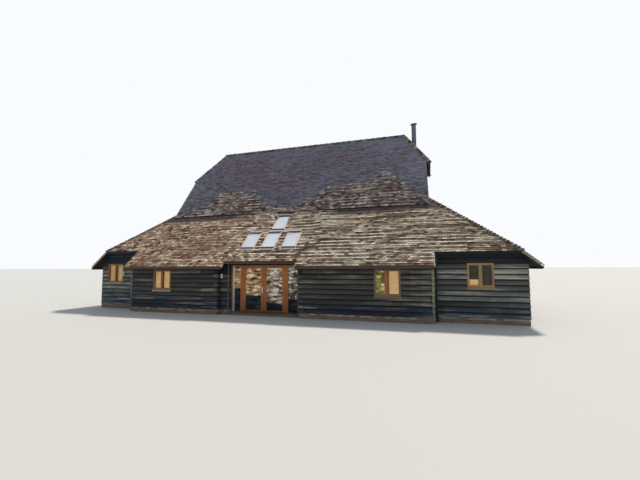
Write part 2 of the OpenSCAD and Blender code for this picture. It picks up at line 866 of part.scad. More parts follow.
module window_sills() {
    color("#9b9488") {
        for (at = front_windows) each_window(at) window_sill(at[3]);
        mirror([0, 1, 0]) for (at = back_windows) each_window(at) window_sill(at[3]);
    }
}

module window_glass() {
    color("#d9c48f") {
        for (at = front_windows) each_window(at)
            translate([0, -window_proud, 0]) window_panes(at[3], at[4]);
        mirror([0, 1, 0]) for (at = back_windows) each_window(at)
            translate([0, -window_proud, 0]) window_panes(at[3], at[4]);
    }
}

module rooflight_frames() {
    color("#8f9598") for (p = rooflights) on_aisle_roof(p) difference() {
        translate([-rooflight_w / 2, -rooflight_l / 2, -roof_t])
            cube([rooflight_w, rooflight_l, roof_t + rooflight_proud]);
        cube([rooflight_w - 2 * rooflight_frame_w, rooflight_l - 2 * rooflight_frame_w,
            far], center = true);
    }
}

module rooflight_glass() {
    w = rooflight_w - 2 * rooflight_frame_w;
    l = rooflight_l - 2 * rooflight_frame_w;
    color("#bcd3e6") for (p = rooflights) on_aisle_roof(p)
        translate([-w / 2, -l / 2, rooflight_proud - glass_t - 10]) cube([w, l, glass_t]);
}

// Distance of the flue from the middle
flue_x = ridge_half + flue_past_ridge;

// Steel flue on the right half hip, with a collar on the tiles and a wide cap over its mouth
module flue() {
    foot_z = half_hip_top(flue_x) - flue_foot;
    stay_w = 16;
    color("#8d9096") translate([flue_x, 0, 0]) {
        difference() {
            union() {
                translate([0, 0, foot_z]) cylinder(h = flue_top_z - foot_z, r = flue_r, $fn = 48);
                difference() {
                    translate([0, 0, foot_z])
                        cylinder(h = flue_foot + flue_collar_h, r = flue_r * 1.35, $fn = 48);
                    translate([-flue_x, 0, 0]) under_half_hips(-seat);
                }
            }
            translate([0, 0, foot_z - 1])
                cylinder(h = flue_top_z - foot_z + 2, r = flue_r - flue_wall, $fn = 48);
        }
        translate([0, 0, flue_top_z + flue_cap_gap]) rotate([0, -flue_cap_tilt, 0]) {
            cylinder(h = flue_r * 0.18, r = flue_r * 1.46, $fn = 48);
            cylinder(h = flue_r * 0.5, r1 = flue_r * 1.3, r2 = flue_r * 0.4, $fn = 48);
        }
        for (a = [45:90:315]) rotate([0, 0, a])
            translate([flue_r - flue_wall, -stay_w / 2, flue_top_z - flue_cap_gap])
            cube([flue_wall, stay_w, 2 * flue_cap_gap + flue_r * 0.1]);
    }
}

// The two outer posts of the screen and the two that the doors hang on
module door_frame_posts() {
    z0 = floor_t + sill_h;
    z1 = screen_top_z - head_h;
    color("#9a5f2c") {
        block([screen_left_x, -screen_y, z0], [screen_left_x + jamb_w, -screen_y + frame_d, z1]);
        block([screen_right_x - jamb_w, -screen_y, z0], [screen_right_x, -screen_y + frame_d, z1]);
        for (side = [-1, 1]) {
            x = screen_x + side * (pair_w + mullion_w) / 2;
            block([x - mullion_w / 2, -screen_y, z0], [x + mullion_w / 2, -screen_y + frame_d, z1]);
        }
    }
}

// Head and sill of the screen
module door_frame_rails() {
    color("#9a5f2c") {
        block([screen_left_x, -screen_y, floor_t],
            [screen_right_x, -screen_y + frame_d, floor_t + sill_h]);
        block([screen_left_x, -screen_y, screen_top_z - head_h],
            [screen_right_x, -screen_y + frame_d, screen_top_z]);
    }
}

// The fixed panes beside the doors
module side_lights() {
    y0 = -screen_y + (frame_d - glass_t) / 2;
    color("#9fb4bd") {
        block([screen_left_x + jamb_w, y0, floor_t + sill_h],
            [screen_x - pair_w / 2 - mullion_w, y0 + glass_t, screen_top_z - head_h]);
        block([screen_x + pair_w / 2 + mullion_w, y0, floor_t + sill_h],
            [screen_right_x - jamb_w, y0 + glass_t, screen_top_z - head_h]);
    }
}

// Left edge of each door
left_leaf_x = screen_x - pair_w / 2 + door_gap;
right_leaf_x = screen_x + meeting_gap / 2;

module door_leaf(x) {
    y = -screen_y;
    difference() {
        block([x, y, leaf_bottom_z], [x + leaf_w, y + leaf_t, leaf_top_z]);
        block([x + stile_w, y - leaf_t, leaf_bottom_z + bottom_rail_h],
            [x + leaf_w - stile_w, y + 2 * leaf_t, leaf_top_z - top_rail_h]);
    }
}

module door_pane(x) {
    y = -screen_y + (leaf_t - glass_t) / 2;
    block([x + stile_w, y, leaf_bottom_z + bottom_rail_h],
        [x + leaf_w - stile_w, y + glass_t, leaf_top_z - top_rail_h]);
}

// Each door turns about the middle of its hinges' knuckles, out in front of its edge
left_hinge_x = screen_x - (pair_w - door_gap) / 2;
right_hinge_x = screen_x + (pair_w - door_gap) / 2;
hinge_y = -screen_y - knuckle_r;
flap_t = 3;
flap_w = 30;
hinge_places = [leaf_bottom_z + 130, (leaf_bottom_z + leaf_top_z - hinge_h) / 2,
    leaf_top_z - 130 - hinge_h];

// Knuckle with its flap on the timber towards plus X, from height z0 to z1
module knuckle(z0, z1) {
    translate([0, 0, z0]) cylinder(h = z1 - z0, r = knuckle_r, $fn = 32);
    block([0, knuckle_r - flap_t, z0], [flap_w, knuckle_r, z1]);
}

// Middle thirds of one door's hinges, that turn with the door
module door_knuckles() {
    for (z = hinge_places) knuckle(z + hinge_h / 3 + seat, z + hinge_h * 2 / 3 - seat);
}

// Upper and lower thirds of one door's hinges, on the post
module post_knuckles() {
    for (z = hinge_places) {
        knuckle(z, z + hinge_h / 3);
        knuckle(z + hinge_h * 2 / 3, z + hinge_h);
    }
}

module door_hinges() {
    color("#b0a48a") {
        translate([left_hinge_x, hinge_y, 0]) mirror([1, 0, 0]) post_knuckles();
        translate([right_hinge_x, hinge_y, 0]) post_knuckles();
    }
}

module left_door_leaf() {
    color("#9a5f2c") {
        door_leaf(left_leaf_x);
        translate([left_hinge_x, hinge_y, 0]) door_knuckles();
    }
}

module left_door_glass() {
    color("#9fb4bd") door_pane(left_leaf_x);
}

module right_door_leaf() {
    color("#9a5f2c") {
        door_leaf(right_leaf_x);
        translate([right_hinge_x, hinge_y, 0]) mirror([1, 0, 0]) door_knuckles();
    }
}

module right_door_glass() {
    color("#9fb4bd") door_pane(right_leaf_x);
}

// Lever handle on the outer face of the left door, on the rail that meets the other door
module door_handle() {
    x = left_leaf_x + leaf_w - stile_w / 2;
    y = -screen_y;
    z = floor_t + handle_z;
    color("#b9bcc0") {
        block([x - 20, y - 8, z - 110], [x + 20, y, z + 110]);
        translate([x, y, z]) rotate([90, 0, 0]) cylinder(h = 45, r = 9, $fn = 32);
        translate([x + 9, y - 45, z]) rotate([0, -90, 0]) cylinder(h = 125, r = 9, $fn = 32);
    }
}

// Lantern on a wall that faces -Y, with its back plate at y = 0 and its middle at z = 0
module lantern() {
    rotate([0, 0, 0]) {
        translate([-45, -12, -70]) cube([90, 12, 170]);
        translate([-8, -70, 72]) cube([16, 60, 12]);
        translate([0, -78, -95]) cylinder(h = 150, r = 48, $fn = 32);
        translate([0, -78, 55]) cylinder(h = 34, r1 = 62, r2 = 20, $fn = 32);
        translate([0, -78, -110]) cylinder(h = 15, r = 30, $fn = 32);
    }
}

module wall_lanterns() {
    color("white") {
        translate([-recess_left_x + 110, -screen_y, lantern_z]) lantern();
        translate([-front_left_x, -front_y + 90 + wall_t, lantern_z]) rotate([0, 0, -90]) lantern();
        translate([left_wing_window_x + left_wing_window_w / 2 + 80, -left_wing_y, lantern_z + 90])
            lantern();
    }
}

// Round downpipe in front of a wall whose face is at -wall_y, held by two clips
module wall_pipe(x, wall_y, r) {
    foot_z = 40;
    clip_h = 40;
    y = -wall_y - r - pipe_gap;
    top_z = aisle_under(-y + r) - seat;
    translate([x, y, foot_z]) cylinder(h = top_z - foot_z, r = r, $fn = 32);
    for (share = [0.3, 0.75])
        block([x - r, y, top_z * share], [x + r, -wall_y, top_z * share + clip_h]);
}

// One in the corner between the right wing and the main front, one beside the doors
module downpipe() {
    color("#2c2f33") {
        wall_pipe(front_right_x + downpipe_r + pipe_gap, right_wing_y, downpipe_r);
        wall_pipe(screen_left_x - door_pipe_gap, screen_y, door_pipe_r);
    }
}

floor_slab();
front_plinth();
back_plinth();
end_plinths();
front_wall_left();
front_wall_right();
wing_front_walls();
return_walls();
end_walls();
back_walls();
gable_walls();
door_cheeks();
door_lintel();
arcade_posts();
arcade_plates();
tie_beams();
nave_roof_front();
nave_roof_back();
half_hip_left();
half_hip_right();
aisle_roof_front();
aisle_roof_back();
end_roof_left();
end_roof_right();
ridge_tiles();
hip_tiles();
eaves_boards();
corner_boards();
window_frames();
window_sills();
window_glass();
rooflight_frames();
rooflight_glass();
flue();
door_frame_posts();
door_frame_rails();
side_lights();
door_hinges();
left_door_leaf();
left_door_glass();
right_door_leaf();
right_door_glass();
door_handle();
wall_lanterns();
downpipe();
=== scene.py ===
"""An aisled barn made into a house, dressed and lit in a plain studio.

The CAD model brings the carcass: plinth, walls, roof slabs, frames, doors and windows.
This script lays tiles, hip tiles, ridge tiles, weatherboards and bricks on that carcass,
adds the small joinery and the blinds, and gives every piece its finish.
"""

from __future__ import annotations

import logging
import math
import random
from dataclasses import dataclass, field
from enum import Enum
from typing import Callable, Sequence

import bmesh
import bpy
from mathutils import Matrix, Vector, noise


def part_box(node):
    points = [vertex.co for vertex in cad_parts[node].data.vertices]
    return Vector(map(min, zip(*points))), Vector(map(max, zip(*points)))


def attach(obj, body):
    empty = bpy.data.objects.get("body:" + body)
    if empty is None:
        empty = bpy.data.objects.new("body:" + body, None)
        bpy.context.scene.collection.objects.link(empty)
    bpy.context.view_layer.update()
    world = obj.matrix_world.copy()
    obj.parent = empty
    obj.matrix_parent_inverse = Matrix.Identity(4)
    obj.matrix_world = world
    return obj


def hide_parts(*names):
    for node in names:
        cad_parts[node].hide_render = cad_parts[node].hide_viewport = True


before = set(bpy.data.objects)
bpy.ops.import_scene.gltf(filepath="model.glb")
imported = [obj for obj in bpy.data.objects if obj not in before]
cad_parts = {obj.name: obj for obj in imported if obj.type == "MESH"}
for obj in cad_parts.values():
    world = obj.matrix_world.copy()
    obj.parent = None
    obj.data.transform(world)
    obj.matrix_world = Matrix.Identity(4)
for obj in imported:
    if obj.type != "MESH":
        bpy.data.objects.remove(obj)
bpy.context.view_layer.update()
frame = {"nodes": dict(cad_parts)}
log = logging.getLogger("barn")

BUILDING = "building"
FAR_RIGHT = 99.0

Colour = tuple[float, float, float]
Span = tuple[float, float]
Four = tuple[float, float, float, float]
Socket = bpy.types.NodeSocket
Material = bpy.types.Material
Piece = bpy.types.Object


def linear(red: int, green: int, blue: int) -> Colour:
    """Turn a colour in the 0 to 255 scale of a colour card into scene-linear values."""

    def channel(value: int) -> float:
        """Turn one channel into its linear value."""
        share = value / 255
        return share / 12.92 if share <= 0.04045 else ((share + 0.055) / 1.055) ** 2.4

    return channel(red), channel(green), channel(blue)


def linears(*colours: tuple[int, int, int]) -> tuple[Colour, ...]:
    """Turn several colours of a colour card into scene-linear values."""
    return tuple(linear(*colour) for colour in colours)


# Finishes


class Bench:
    """Wires up the shader nodes of one finish."""

    def __init__(self, name: str) -> None:
        """Start a finish with an empty board and its output.

        Args:
            name: The finish's name.
        """
        self.material = bpy.data.materials.new(name)
        self.material.use_nodes = True
        self.tree = self.material.node_tree
        self.tree.nodes.clear()
        self.output = self.tree.nodes.new("ShaderNodeOutputMaterial")
        self.shader = self.tree.nodes.new("ShaderNodeBsdfPrincipled")
        self.join(self.shader.outputs[0], self.output.inputs["Surface"])

    def join(self, source: Socket, target: Socket) -> None:
        """Join an output to an input."""
        self.tree.links.new(source, target)

    def feed(self, value: Socket | Colour | float, target: Socket) -> None:
        """Join a value to an input, or set the input to it where it is fixed."""
        if isinstance(value, Socket):
            self.join(value, target)
        else:
            target.default_value = (*value, 1.0) if isinstance(value, tuple) else value

    def add(self, kind: str, **settings: object) -> bpy.types.Node:
        """Add a node.

        Args:
            kind: The node type without its common prefix.
            settings: Attributes of the node, or input values where the name is an input's.

        Returns:
            The new node.
        """
        node = self.tree.nodes.new("ShaderNode" + kind)
        for name, value in settings.items():
            if hasattr(node, name):
                setattr(node, name, value)
            else:
                node.inputs[name.replace("_", " ")].default_value = value
        return node

    def place(self, scale: Sequence[float] = (1, 1, 1)) -> Socket:
        """Give the place on the piece in metres, stretched by a scale along each axis."""
        coordinates = self.add("TexCoord")
        mapping = self.add("Mapping")
        mapping.inputs["Scale"].default_value = scale
        self.join(coordinates.outputs["Object"], mapping.inputs["Vector"])
        return mapping.outputs["Vector"]

    def noise(
        self, scale: float, stretch: Sequence[float] = (1, 1, 1), detail: float = 4.0, roughness: float = 0.55
    ) -> Socket:
        """Add a noise pattern.

        Args:
            scale: Waves in a metre.
            stretch: How much finer the pattern is along each axis.
            detail: Number of finer layers.
            roughness: Strength of the finer layers.

        Returns:
            The pattern as a value from 0 to 1.
        """
        node = self.add("TexNoise", Scale=scale, Detail=detail, Roughness=roughness)
        self.join(self.place(stretch), node.inputs["Vector"])
        return node.outputs["Fac"]

    def ramp(self, value: Socket, stops: Sequence[tuple[float, Colour]]) -> Socket:
        """Turn a value into a colour between stops.

        Args:
            value: The value to look up.
            stops: Places from 0 to 1, each with its colour.

        Returns:
            The colour.
        """
        node = self.add("ValToRGB")
        elements = node.color_ramp.elements
        while len(elements) < len(stops):
            elements.new(0.5)
        for element, (place, colour) in zip(elements, stops):
            element.position = place
            element.color = (*colour, 1.0)
        self.join(value, node.inputs["Fac"])
        return node.outputs["Color"]

    def level(self, value: Socket, low: float, high: float) -> Socket:
        """Stretch a value so that low becomes 0 and high becomes 1, and cap it there."""
        node = self.add("MapRange", interpolation_type="SMOOTHSTEP")
        node.inputs["From Min"].default_value = low
        node.inputs["From Max"].default_value = high
        self.join(value, node.inputs["Value"])
        return node.outputs["Result"]

    def reckon(self, operation: str, *values: Socket | float) -> Socket:
        """Give the result of one operation on values."""
        node = self.add("Math", operation=operation)
        for value, target in zip(values, node.inputs):
            self.feed(value, target)
        return node.outputs[0]

    def scaled(self, value: Socket, share: float) -> Socket:
        """Give a share of a value."""
        return self.reckon("MULTIPLY", value, share)

    def sum(self, first: Socket, second: Socket, share: float) -> Socket:
        """Add a share of the second value to the first."""
        return self.reckon("MULTIPLY_ADD", second, share, first)

    def mix(
        self, amount: Socket | float, first: Socket | Colour, second: Socket | Colour, blend: str = "MIX"
    ) -> Socket:
        """Mix two colours.

        Args:
            amount: Share of the second colour.
            first: The first colour.
            second: The second colour.
            blend: How the second colour is laid on the first.

        Returns:
            The mixed colour.
        """
        node = self.add("Mix", data_type="RGBA", blend_type=blend)
        for place, value in ((0, amount), (6, first), (7, second)):
            self.feed(value, node.inputs[place])
        return node.outputs[2]

    def mark(self, name: str = "shade") -> Socket:
        """Give a value that the maker set on each tile, board or brick."""
        return self.add("Attribute", attribute_name=name).outputs["Fac"]

    def within(self, value: Socket, start: float, step: float) -> Socket:
        """Give how far a value is into its step of a regular row, from 0 to 1."""
        steps = self.reckon("DIVIDE", self.reckon("SUBTRACT", value, start), step)
        return self.reckon("FRACT", steps)

    def tone(self, value: Socket, low: float, high: float, ends: Span = (0.0, 1.0)) -> Socket:
        """Turn a value into a grey that darkens or lightens a colour laid under it."""
        return self.ramp(value, [(ends[0], (low,) * 3), (ends[1], (high,) * 3)])

    def shaded(self, colour: Socket, grey: Socket | Colour, share: float = 1.0) -> Socket:
        """Multiply a colour by a grey, in full or by a share."""
        return self.mix(share, colour, grey, "MULTIPLY")

    def painted_glow(self, colour: Socket, strength: float) -> None:
        """Let the finish give off a little of its own colour, a painted light glowing with no lamp behind it.
        """
        self.join(colour, self.shader.inputs["Emission Color"])
        self.shader.inputs["Emission Strength"].default_value = strength

    def position(self, axis: str) -> Socket:
        """Give the place along X, Y or Z in metres."""
        coordinates = self.add("TexCoord")
        split = self.add("SeparateXYZ")
        self.join(coordinates.outputs["Object"], split.inputs[0])
        return split.outputs[axis]

    def finish(
        self,
        colour: Socket | Colour,
        roughness: Socket | float,
        relief: Socket | None = None,
        depth: float = 0.002,
        **settings: float,
    ) -> Material:
        """Set the shader and give the finished material.

        Args:
            colour: Base colour.
            roughness: Roughness.
            relief: Height pattern for the fine relief.
            depth: Height of that relief in metres.
            settings: Further inputs of the shader.

        Returns:
            The material.
        """
        self.feed(colour, self.shader.inputs["Base Color"])
        self.feed(roughness, self.shader.inputs["Roughness"])
        if relief is not None:
            bump = self.add("Bump", Distance=depth, Strength=1.0)
            self.join(relief, bump.inputs["Height"])
            self.join(bump.outputs["Normal"], self.shader.inputs["Normal"])
        for name, value in settings.items():
            self.shader.inputs[name.replace("_", " ")].default_value = value
        plain = colour if isinstance(colour, tuple) else (0.4, 0.35, 0.3)
        self.material.diffuse_color = (*plain, 1.0)
        return self.material


@dataclass(frozen=True)
class ClayTile:
    """Old hand-made clay tiles, each with its own shade and its own share of dirt and painted shade."""

    name: str
    shades: tuple[Colour, ...]
    # Colours for the mark of dirt and painted shade; on the upper roof their blue greys paint the shade of
    # the steep upper slope.
    grime_and_shade: tuple[Colour, ...] = linears((134, 134, 148), (132, 124, 140), (144, 121, 132))
    warm: Colour = linear(150, 98, 78)
    lichen: Colour = linear(190, 182, 158)
    warm_share: float = 0.35
    lichen_share: float = 0.7
    grain_share: float = 0.7

    def make(self) -> Material:
        """Make the material."""
        bench = Bench(self.name)
        shade, grime_and_shade = bench.mark(), bench.mark("grime_and_shade")
        steps = len(self.shades) - 1
        clean = bench.ramp(shade, [(place / steps, colour) for place, colour in enumerate(self.shades)])
        patches = bench.level(bench.noise(0.7, detail=4.0), 0.48, 0.7)
        clean = bench.mix(bench.scaled(patches, self.warm_share), clean, self.warm)
        specks = bench.level(bench.noise(11.0, detail=4.0), 0.62, 0.72)
        clean = bench.mix(bench.scaled(specks, self.lichen_share), clean, self.lichen)
        grey, violet, red = self.grime_and_shade
        grimed_and_shaded = bench.ramp(grime_and_shade, [(0.3, grey), (0.65, violet), (1.0, red)])
        grimed_and_shaded = bench.shaded(grimed_and_shaded, bench.tone(shade, 0.62, 1.35))
        colour = bench.mix(bench.level(grime_and_shade, 0.02, 0.28), clean, grimed_and_shaded)
        grain = bench.noise(38.0, detail=5.0, roughness=0.7)
        colour = bench.shaded(colour, bench.tone(grain, 0.5, 1.45, (0.3, 0.7)), self.grain_share)
        return bench.finish(colour, 0.92, grain, 0.004, Specular_IOR_Level=0.2)


@dataclass(frozen=True)
class StainedBoard:
    """Black-stained weatherboard: worn grey in streaks, with painted shading across each board that is
    darkest under its lap, bluer low down, and a painted shade high under the eaves.
    """

    name: str
    body: Colour = linear(76, 76, 73)
    low: Colour = linear(40, 54, 70)
    worn: Colour = linear(150, 144, 132)
    warm: Colour = linear(98, 82, 70)
    worn_from: float = 0.62
    lap_foot: float = 0.215
    lap_step: float = 0.195
    lap_shadow: float = 0.06
    # Blue-black of the painted shade high under the eaves.
    eave: Colour = linear(22, 30, 38)
    dark_tone: float = 0.5

    def make(self) -> Material:
        """Make the material."""
        bench = Bench(self.name)
        height = bench.position("Z")
        damp = bench.sum(height, bench.noise(0.6, detail=3.0), 1.3)
        colour = bench.mix(bench.level(damp, 0.8, 1.9), self.low, self.body)
        colour = bench.shaded(colour, bench.tone(bench.mark(), self.dark_tone, 1.4))
        streaks = bench.noise(0.9, stretch=(1.0, 1.0, 14.0), detail=7.0, roughness=0.6)
        wear = bench.sum(streaks, bench.mark(), 0.26)
        colour = bench.mix(bench.level(wear, self.worn_from, self.worn_from + 0.28), colour, self.worn)
        grain = bench.noise(5.0, stretch=(1.0, 1.0, 24.0), detail=5.0)
        colour = bench.mix(bench.level(grain, 0.56, 0.8), colour, self.warm)
        # Painted shading across each board: a painted shadow just under the lap above, and paler towards its
        # own butt.
        lap = bench.within(height, self.lap_foot, self.lap_step)
        stops = (0.0, 1.6), (0.14, 1.25), (0.62, 0.75), (0.82, self.lap_shadow)
        colour = bench.shaded(colour, bench.ramp(lap, [(place, (grey,) * 3) for place, grey in stops]))
        # Mix in the painted eave shade where the boards carry its mark.
        colour = bench.mix(bench.mark("grime_and_shade"), colour, self.eave)
        return bench.finish(colour, 0.8, grain, 0.004, Specular_IOR_Level=0.3)


@dataclass(frozen=True)
class Timber:
    """Wood with its grain along one axis, paler above a height than below it."""

    name: str
    body: Colour
    dark: Colour
    stretch: tuple[float, float, float] = (14.0, 14.0, 1.0)
    roughness: float = 0.45
    foot: Colour | None = None
    foot_top: float = 1.3

    def make(self) -> Material:
        """Make the material."""
        bench = Bench(self.name)
        grain = bench.noise(7.0, stretch=self.stretch, detail=6.0, roughness=0.6)
        broad = bench.noise(1.4, detail=2.0)
        colour = bench.ramp(bench.sum(grain, broad, 0.3), [(0.42, self.dark), (0.75, self.body)])
        if self.foot is not None:
            height = bench.level(bench.position("Z"), self.foot_top - 0.7, self.foot_top + 0.3)
            worn = bench.shaded(colour, self.foot, 0.5)
            worn = bench.mix(0.6, worn, self.foot)
            colour = bench.mix(height, worn, colour)
        return bench.finish(colour, self.roughness, grain, 0.0015, Specular_IOR_Level=0.4)


@dataclass(frozen=True)
class Masonry:
    """Fired or cast stuff: bricks, mortar, concrete, plaster."""

    name: str
    body: Colour
    second: Colour | None = None
    third: Colour | None = None
    scale: float = 20.0
    depth: float = 0.003
    roughness: float = 0.92
    painted_glow: float = 0.0

    def make(self) -> Material:
        """Make the material."""
        bench = Bench(self.name)
        second, third = self.second or self.body, self.third or self.body
        colour = bench.ramp(bench.mark(), [(0.0, self.body), (0.5, second), (1.0, third)])
        grit = bench.noise(self.scale, detail=6.0, roughness=0.65)
        colour = bench.shaded(colour, bench.tone(grit, 0.55, 1.35, (0.3, 0.7)), 0.4)
        if self.painted_glow:
            bench.painted_glow(colour, self.painted_glow)
        return bench.finish(colour, self.roughness, grit, self.depth, Specular_IOR_Level=0.25)


@dataclass(frozen=True)
class Metal:
    """Painted, plated or bare metal with a little dirt."""

    name: str
    body: Colour
    metallic: float
    roughness: float
    dirt: Colour = (0.05, 0.05, 0.05)
    dirt_share: float = 0.3

    def make(self) -> Material:
        """Make the material."""
        bench = Bench(self.name)
        blotch = bench.noise(9.0, detail=5.0)
        rubbed = bench.level(blotch, 0.5, 0.85)
        capped = bench.sum(bench.level(blotch, 2.0, 3.0), rubbed, self.dirt_share)
        colour = bench.mix(capped, self.body, self.dirt)
        return bench.finish(colour, self.roughness, blotch, 0.0004, Metallic=self.metallic)


@dataclass(frozen=True)
class Pane:
    """Window glass, partly clear, with a faint tint."""

    name: str
    tint: Colour
    body: float
    roughness: float = 0.04
    mirror: float = 0.0

    def make(self) -> Material:
        """Make the material."""
        bench = Bench(self.name)
        wave = bench.noise(1.3, detail=1.0)
        colour = bench.ramp(wave, [(0.3, tuple(c * 0.85 for c in self.tint)), (0.7, self.tint)])
        return bench.finish(
            colour, self.roughness, wave, 0.002, Alpha=self.body, Specular_IOR_Level=0.9, Metallic=self.mirror
        )


@dataclass(frozen=True)
class MottledPane:
    """Glass with a painted reflection, warm and broken in its upper part, over a painted dark room below, and
    glowing a little.
    """

    name: str
    turn_height: float
    upper: tuple[Colour, ...] = linears((50, 40, 30), (126, 102, 70), (182, 148, 112), (240, 216, 190))
    lower: tuple[Colour, ...] = linears((6, 8, 10), (12, 18, 24), (24, 32, 42), (48, 52, 60))
    places: tuple[float, ...] = (0.38, 0.46, 0.54, 0.63)
    painted_glow: float = 0.32
    body: float = 0.85

    def make(self) -> Material:
        """Make the material."""
        bench = Bench(self.name)
        mottle = bench.noise(3.4, stretch=(1.0, 1.0, 2.6), detail=6.0, roughness=0.68)
        upper = bench.ramp(mottle, list(zip(self.places, self.upper)))
        lower = bench.ramp(mottle, list(zip(self.places, self.lower)))
        edge = bench.sum(bench.position("Z"), bench.noise(4.0, detail=3.0), 0.2)
        low = self.turn_height + 0.1
        colour = bench.mix(bench.level(edge, low - 0.04, low + 0.04), lower, upper)
        bench.painted_glow(colour, self.painted_glow)
        return bench.finish(colour, 0.08, mottle, 0.0008, Alpha=self.body, Specular_IOR_Level=0.1)


@dataclass
class Finishes:
    """Every finish in the building, made once."""

    made: dict[str, Material] = field(default_factory=dict)

    def get(self, finish: object) -> Material:
        """Give a finish's material, and make it when it is first asked for."""
        name = finish.name
        if name not in self.made:
            self.made[name] = finish.make()
        return self.made[name]


def plain_board(
    name: str, *colours: tuple[int, int, int], lap_shadow: float = 0.95, **laps: float
) -> StainedBoard:
    """Describe a board whose painted lap shading is weak, or none.

    Args:
        name: Name of the finish.
        colours: Its body, its low part, its worn streaks and its warm grain.
        lap_shadow: How dark the painted shadow under a lap is, from 0 for black to 1 for none.
        laps: Where the laps start, and how far apart they are.

    Returns:
        The finish.
    """
    return StainedBoard(name, *linears(*colours), lap_shadow=lap_shadow, dark_tone=1.0, **laps)


UPPER_TILES = ClayTile(
    "upper_tiles",
    linears((62, 54, 54), (106, 94, 90), (144, 130, 122), (174, 158, 148), (226, 214, 202)),
    warm_share=0.2,
)
LOWER_TILES = ClayTile(
    "lower_tiles",
    linears((78, 54, 42), (136, 106, 86), (178, 148, 124), (212, 186, 160), (252, 240, 222)),
    # The last of these colours, reached only close under the upper eave, is the painted shadow of that eave.
    grime_and_shade=linears((168, 156, 136), (146, 134, 124), (104, 84, 92)),
    warm=linear(170, 114, 92),
)
HIP_CLAY = ClayTile(
    "hip_clay",
    linears((66, 62, 58), (92, 86, 80), (118, 110, 102), (140, 132, 122), (168, 160, 148)),
    lichen=linear(140, 136, 122),
    warm_share=0.0,
)
RIDGE_CLAY = ClayTile(
    "ridge_clay",
    linears((66, 68, 68), (80, 84, 84), (92, 94, 94), (104, 104, 100), (126, 122, 112)),
    warm_share=0.0,
)
BLACK_BOARDS = StainedBoard("black_boards")
WING_BOARDS = StainedBoard(
    "wing_boards", *linears((104, 108, 106), (54, 72, 86), (174, 172, 160), (116, 104, 90)), 0.6
)
GREY_BOARDS = plain_board(
    "grey_boards", (134, 136, 114), (108, 116, 112), (176, 172, 132), (110, 104, 84), lap_shadow=0.85
)
DARK_CORNER = plain_board(
    "dark_corner_boards", (112, 110, 108), (84, 90, 98), (150, 146, 140), (96, 86, 80), lap_shadow=0.85
)
FASCIA = plain_board("fascia_boards", (108, 90, 80), (100, 84, 74), (150, 134, 118), (84, 66, 56))
SLAB_EDGE = plain_board("slab_edge", (78, 64, 56), (72, 60, 52), (112, 98, 86), (62, 50, 42))
# The eave boards borrow the painted lap shading on a short step that runs downwards, so that they darken
# towards their foot.
EAVE_BOARDS = plain_board(
    "eave_boards", (66, 55, 48), (64, 53, 46), (92, 80, 70), (54, 44, 37),
    lap_shadow=0.3, lap_foot=2.0, lap_step=-0.076,
)
UPPER_FASCIA = plain_board("upper_fascia", (84, 72, 72), (84, 72, 72), (108, 94, 90), (64, 54, 54))
# Near-black boards for the wing eaves and the upper fillets: a dark stain deepened by painted shade.
DARK_FASCIA = plain_board("dark_fascia", (36, 38, 44), (30, 34, 42), (72, 72, 72), (44, 40, 38))
LEVEL, UPRIGHT, SIDEWAYS = (1.0, 14.0, 14.0), (14.0, 14.0, 1.0), (14.0, 1.0, 1.0)
SLATE_SOFFIT = Timber("slate_soffit", *linears((118, 132, 144), (84, 96, 108)), SIDEWAYS, 0.8)
JOINERY = Timber(
    "oak_joinery", *linears((188, 110, 38), (114, 60, 20)), foot=linear(86, 62, 48), foot_top=0.62
)
JOINERY_FLAT = Timber(
    "oak_joinery_level",
    *linears((168, 96, 40), (100, 56, 26)),
    LEVEL,
    foot=linear(74, 64, 54),
    foot_top=0.9,
)
WINDOW_OAK = Timber("window_oak", *linears((156, 104, 58), (96, 60, 32)))
OLIVE_OAK = Timber("olive_window_oak", *linears((140, 118, 84), (92, 76, 52)))
STILE_OAK = Timber("stile_oak", *linears((196, 112, 56), (128, 68, 32)))
PALE_OAK = Timber("pale_window_oak", *linears((184, 146, 94), (118, 92, 58)))
# The outer posts of the door screen: oak darkened as a painted shade.
PAINTED_SHADE_POST = Timber("painted_shade_post", *linears((92, 66, 46), (50, 38, 30)))
FRAME_OAK = Timber("frame_oak", *linears((110, 82, 58), (62, 44, 32)), LEVEL, 0.8)
POST_OAK = Timber("post_oak", *linears((110, 82, 58), (62, 44, 32)), UPRIGHT, 0.8)
RAFTERS = Timber("rafters", *linears((50, 45, 42), (26, 24, 24)), SIDEWAYS, 0.9)
BRICK = Masonry("stock_brick", *linears((112, 98, 88), (134, 116, 102), (188, 176, 158)), 30.0)
MORTAR = Masonry("lime_mortar", linear(168, 160, 148), scale=24.0)
VERGE_MORTAR = Masonry(
    "verge_mortar", *linears((178, 168, 150), (154, 144, 128), (240, 234, 222)), 30.0
)
CONCRETE = Masonry("concrete_floor", linear(112, 104, 92), scale=6.0)
PALE_SILL = Masonry("pale_sills", linear(162, 152, 138), scale=18.0)
DARK_SILL = Masonry("dark_sill", linear(134, 110, 98), scale=18.0)
TAN_SILL = Masonry("tan_sill", linear(152, 138, 112), scale=18.0)
PLASTER = Masonry("cream_plaster", linear(214, 202, 178), scale=4.0, depth=0.001)
LINING = Timber(
    "pale_lining", *linears((226, 208, 168), (196, 176, 138)), foot=linear(150, 150, 146), foot_top=1.25
)
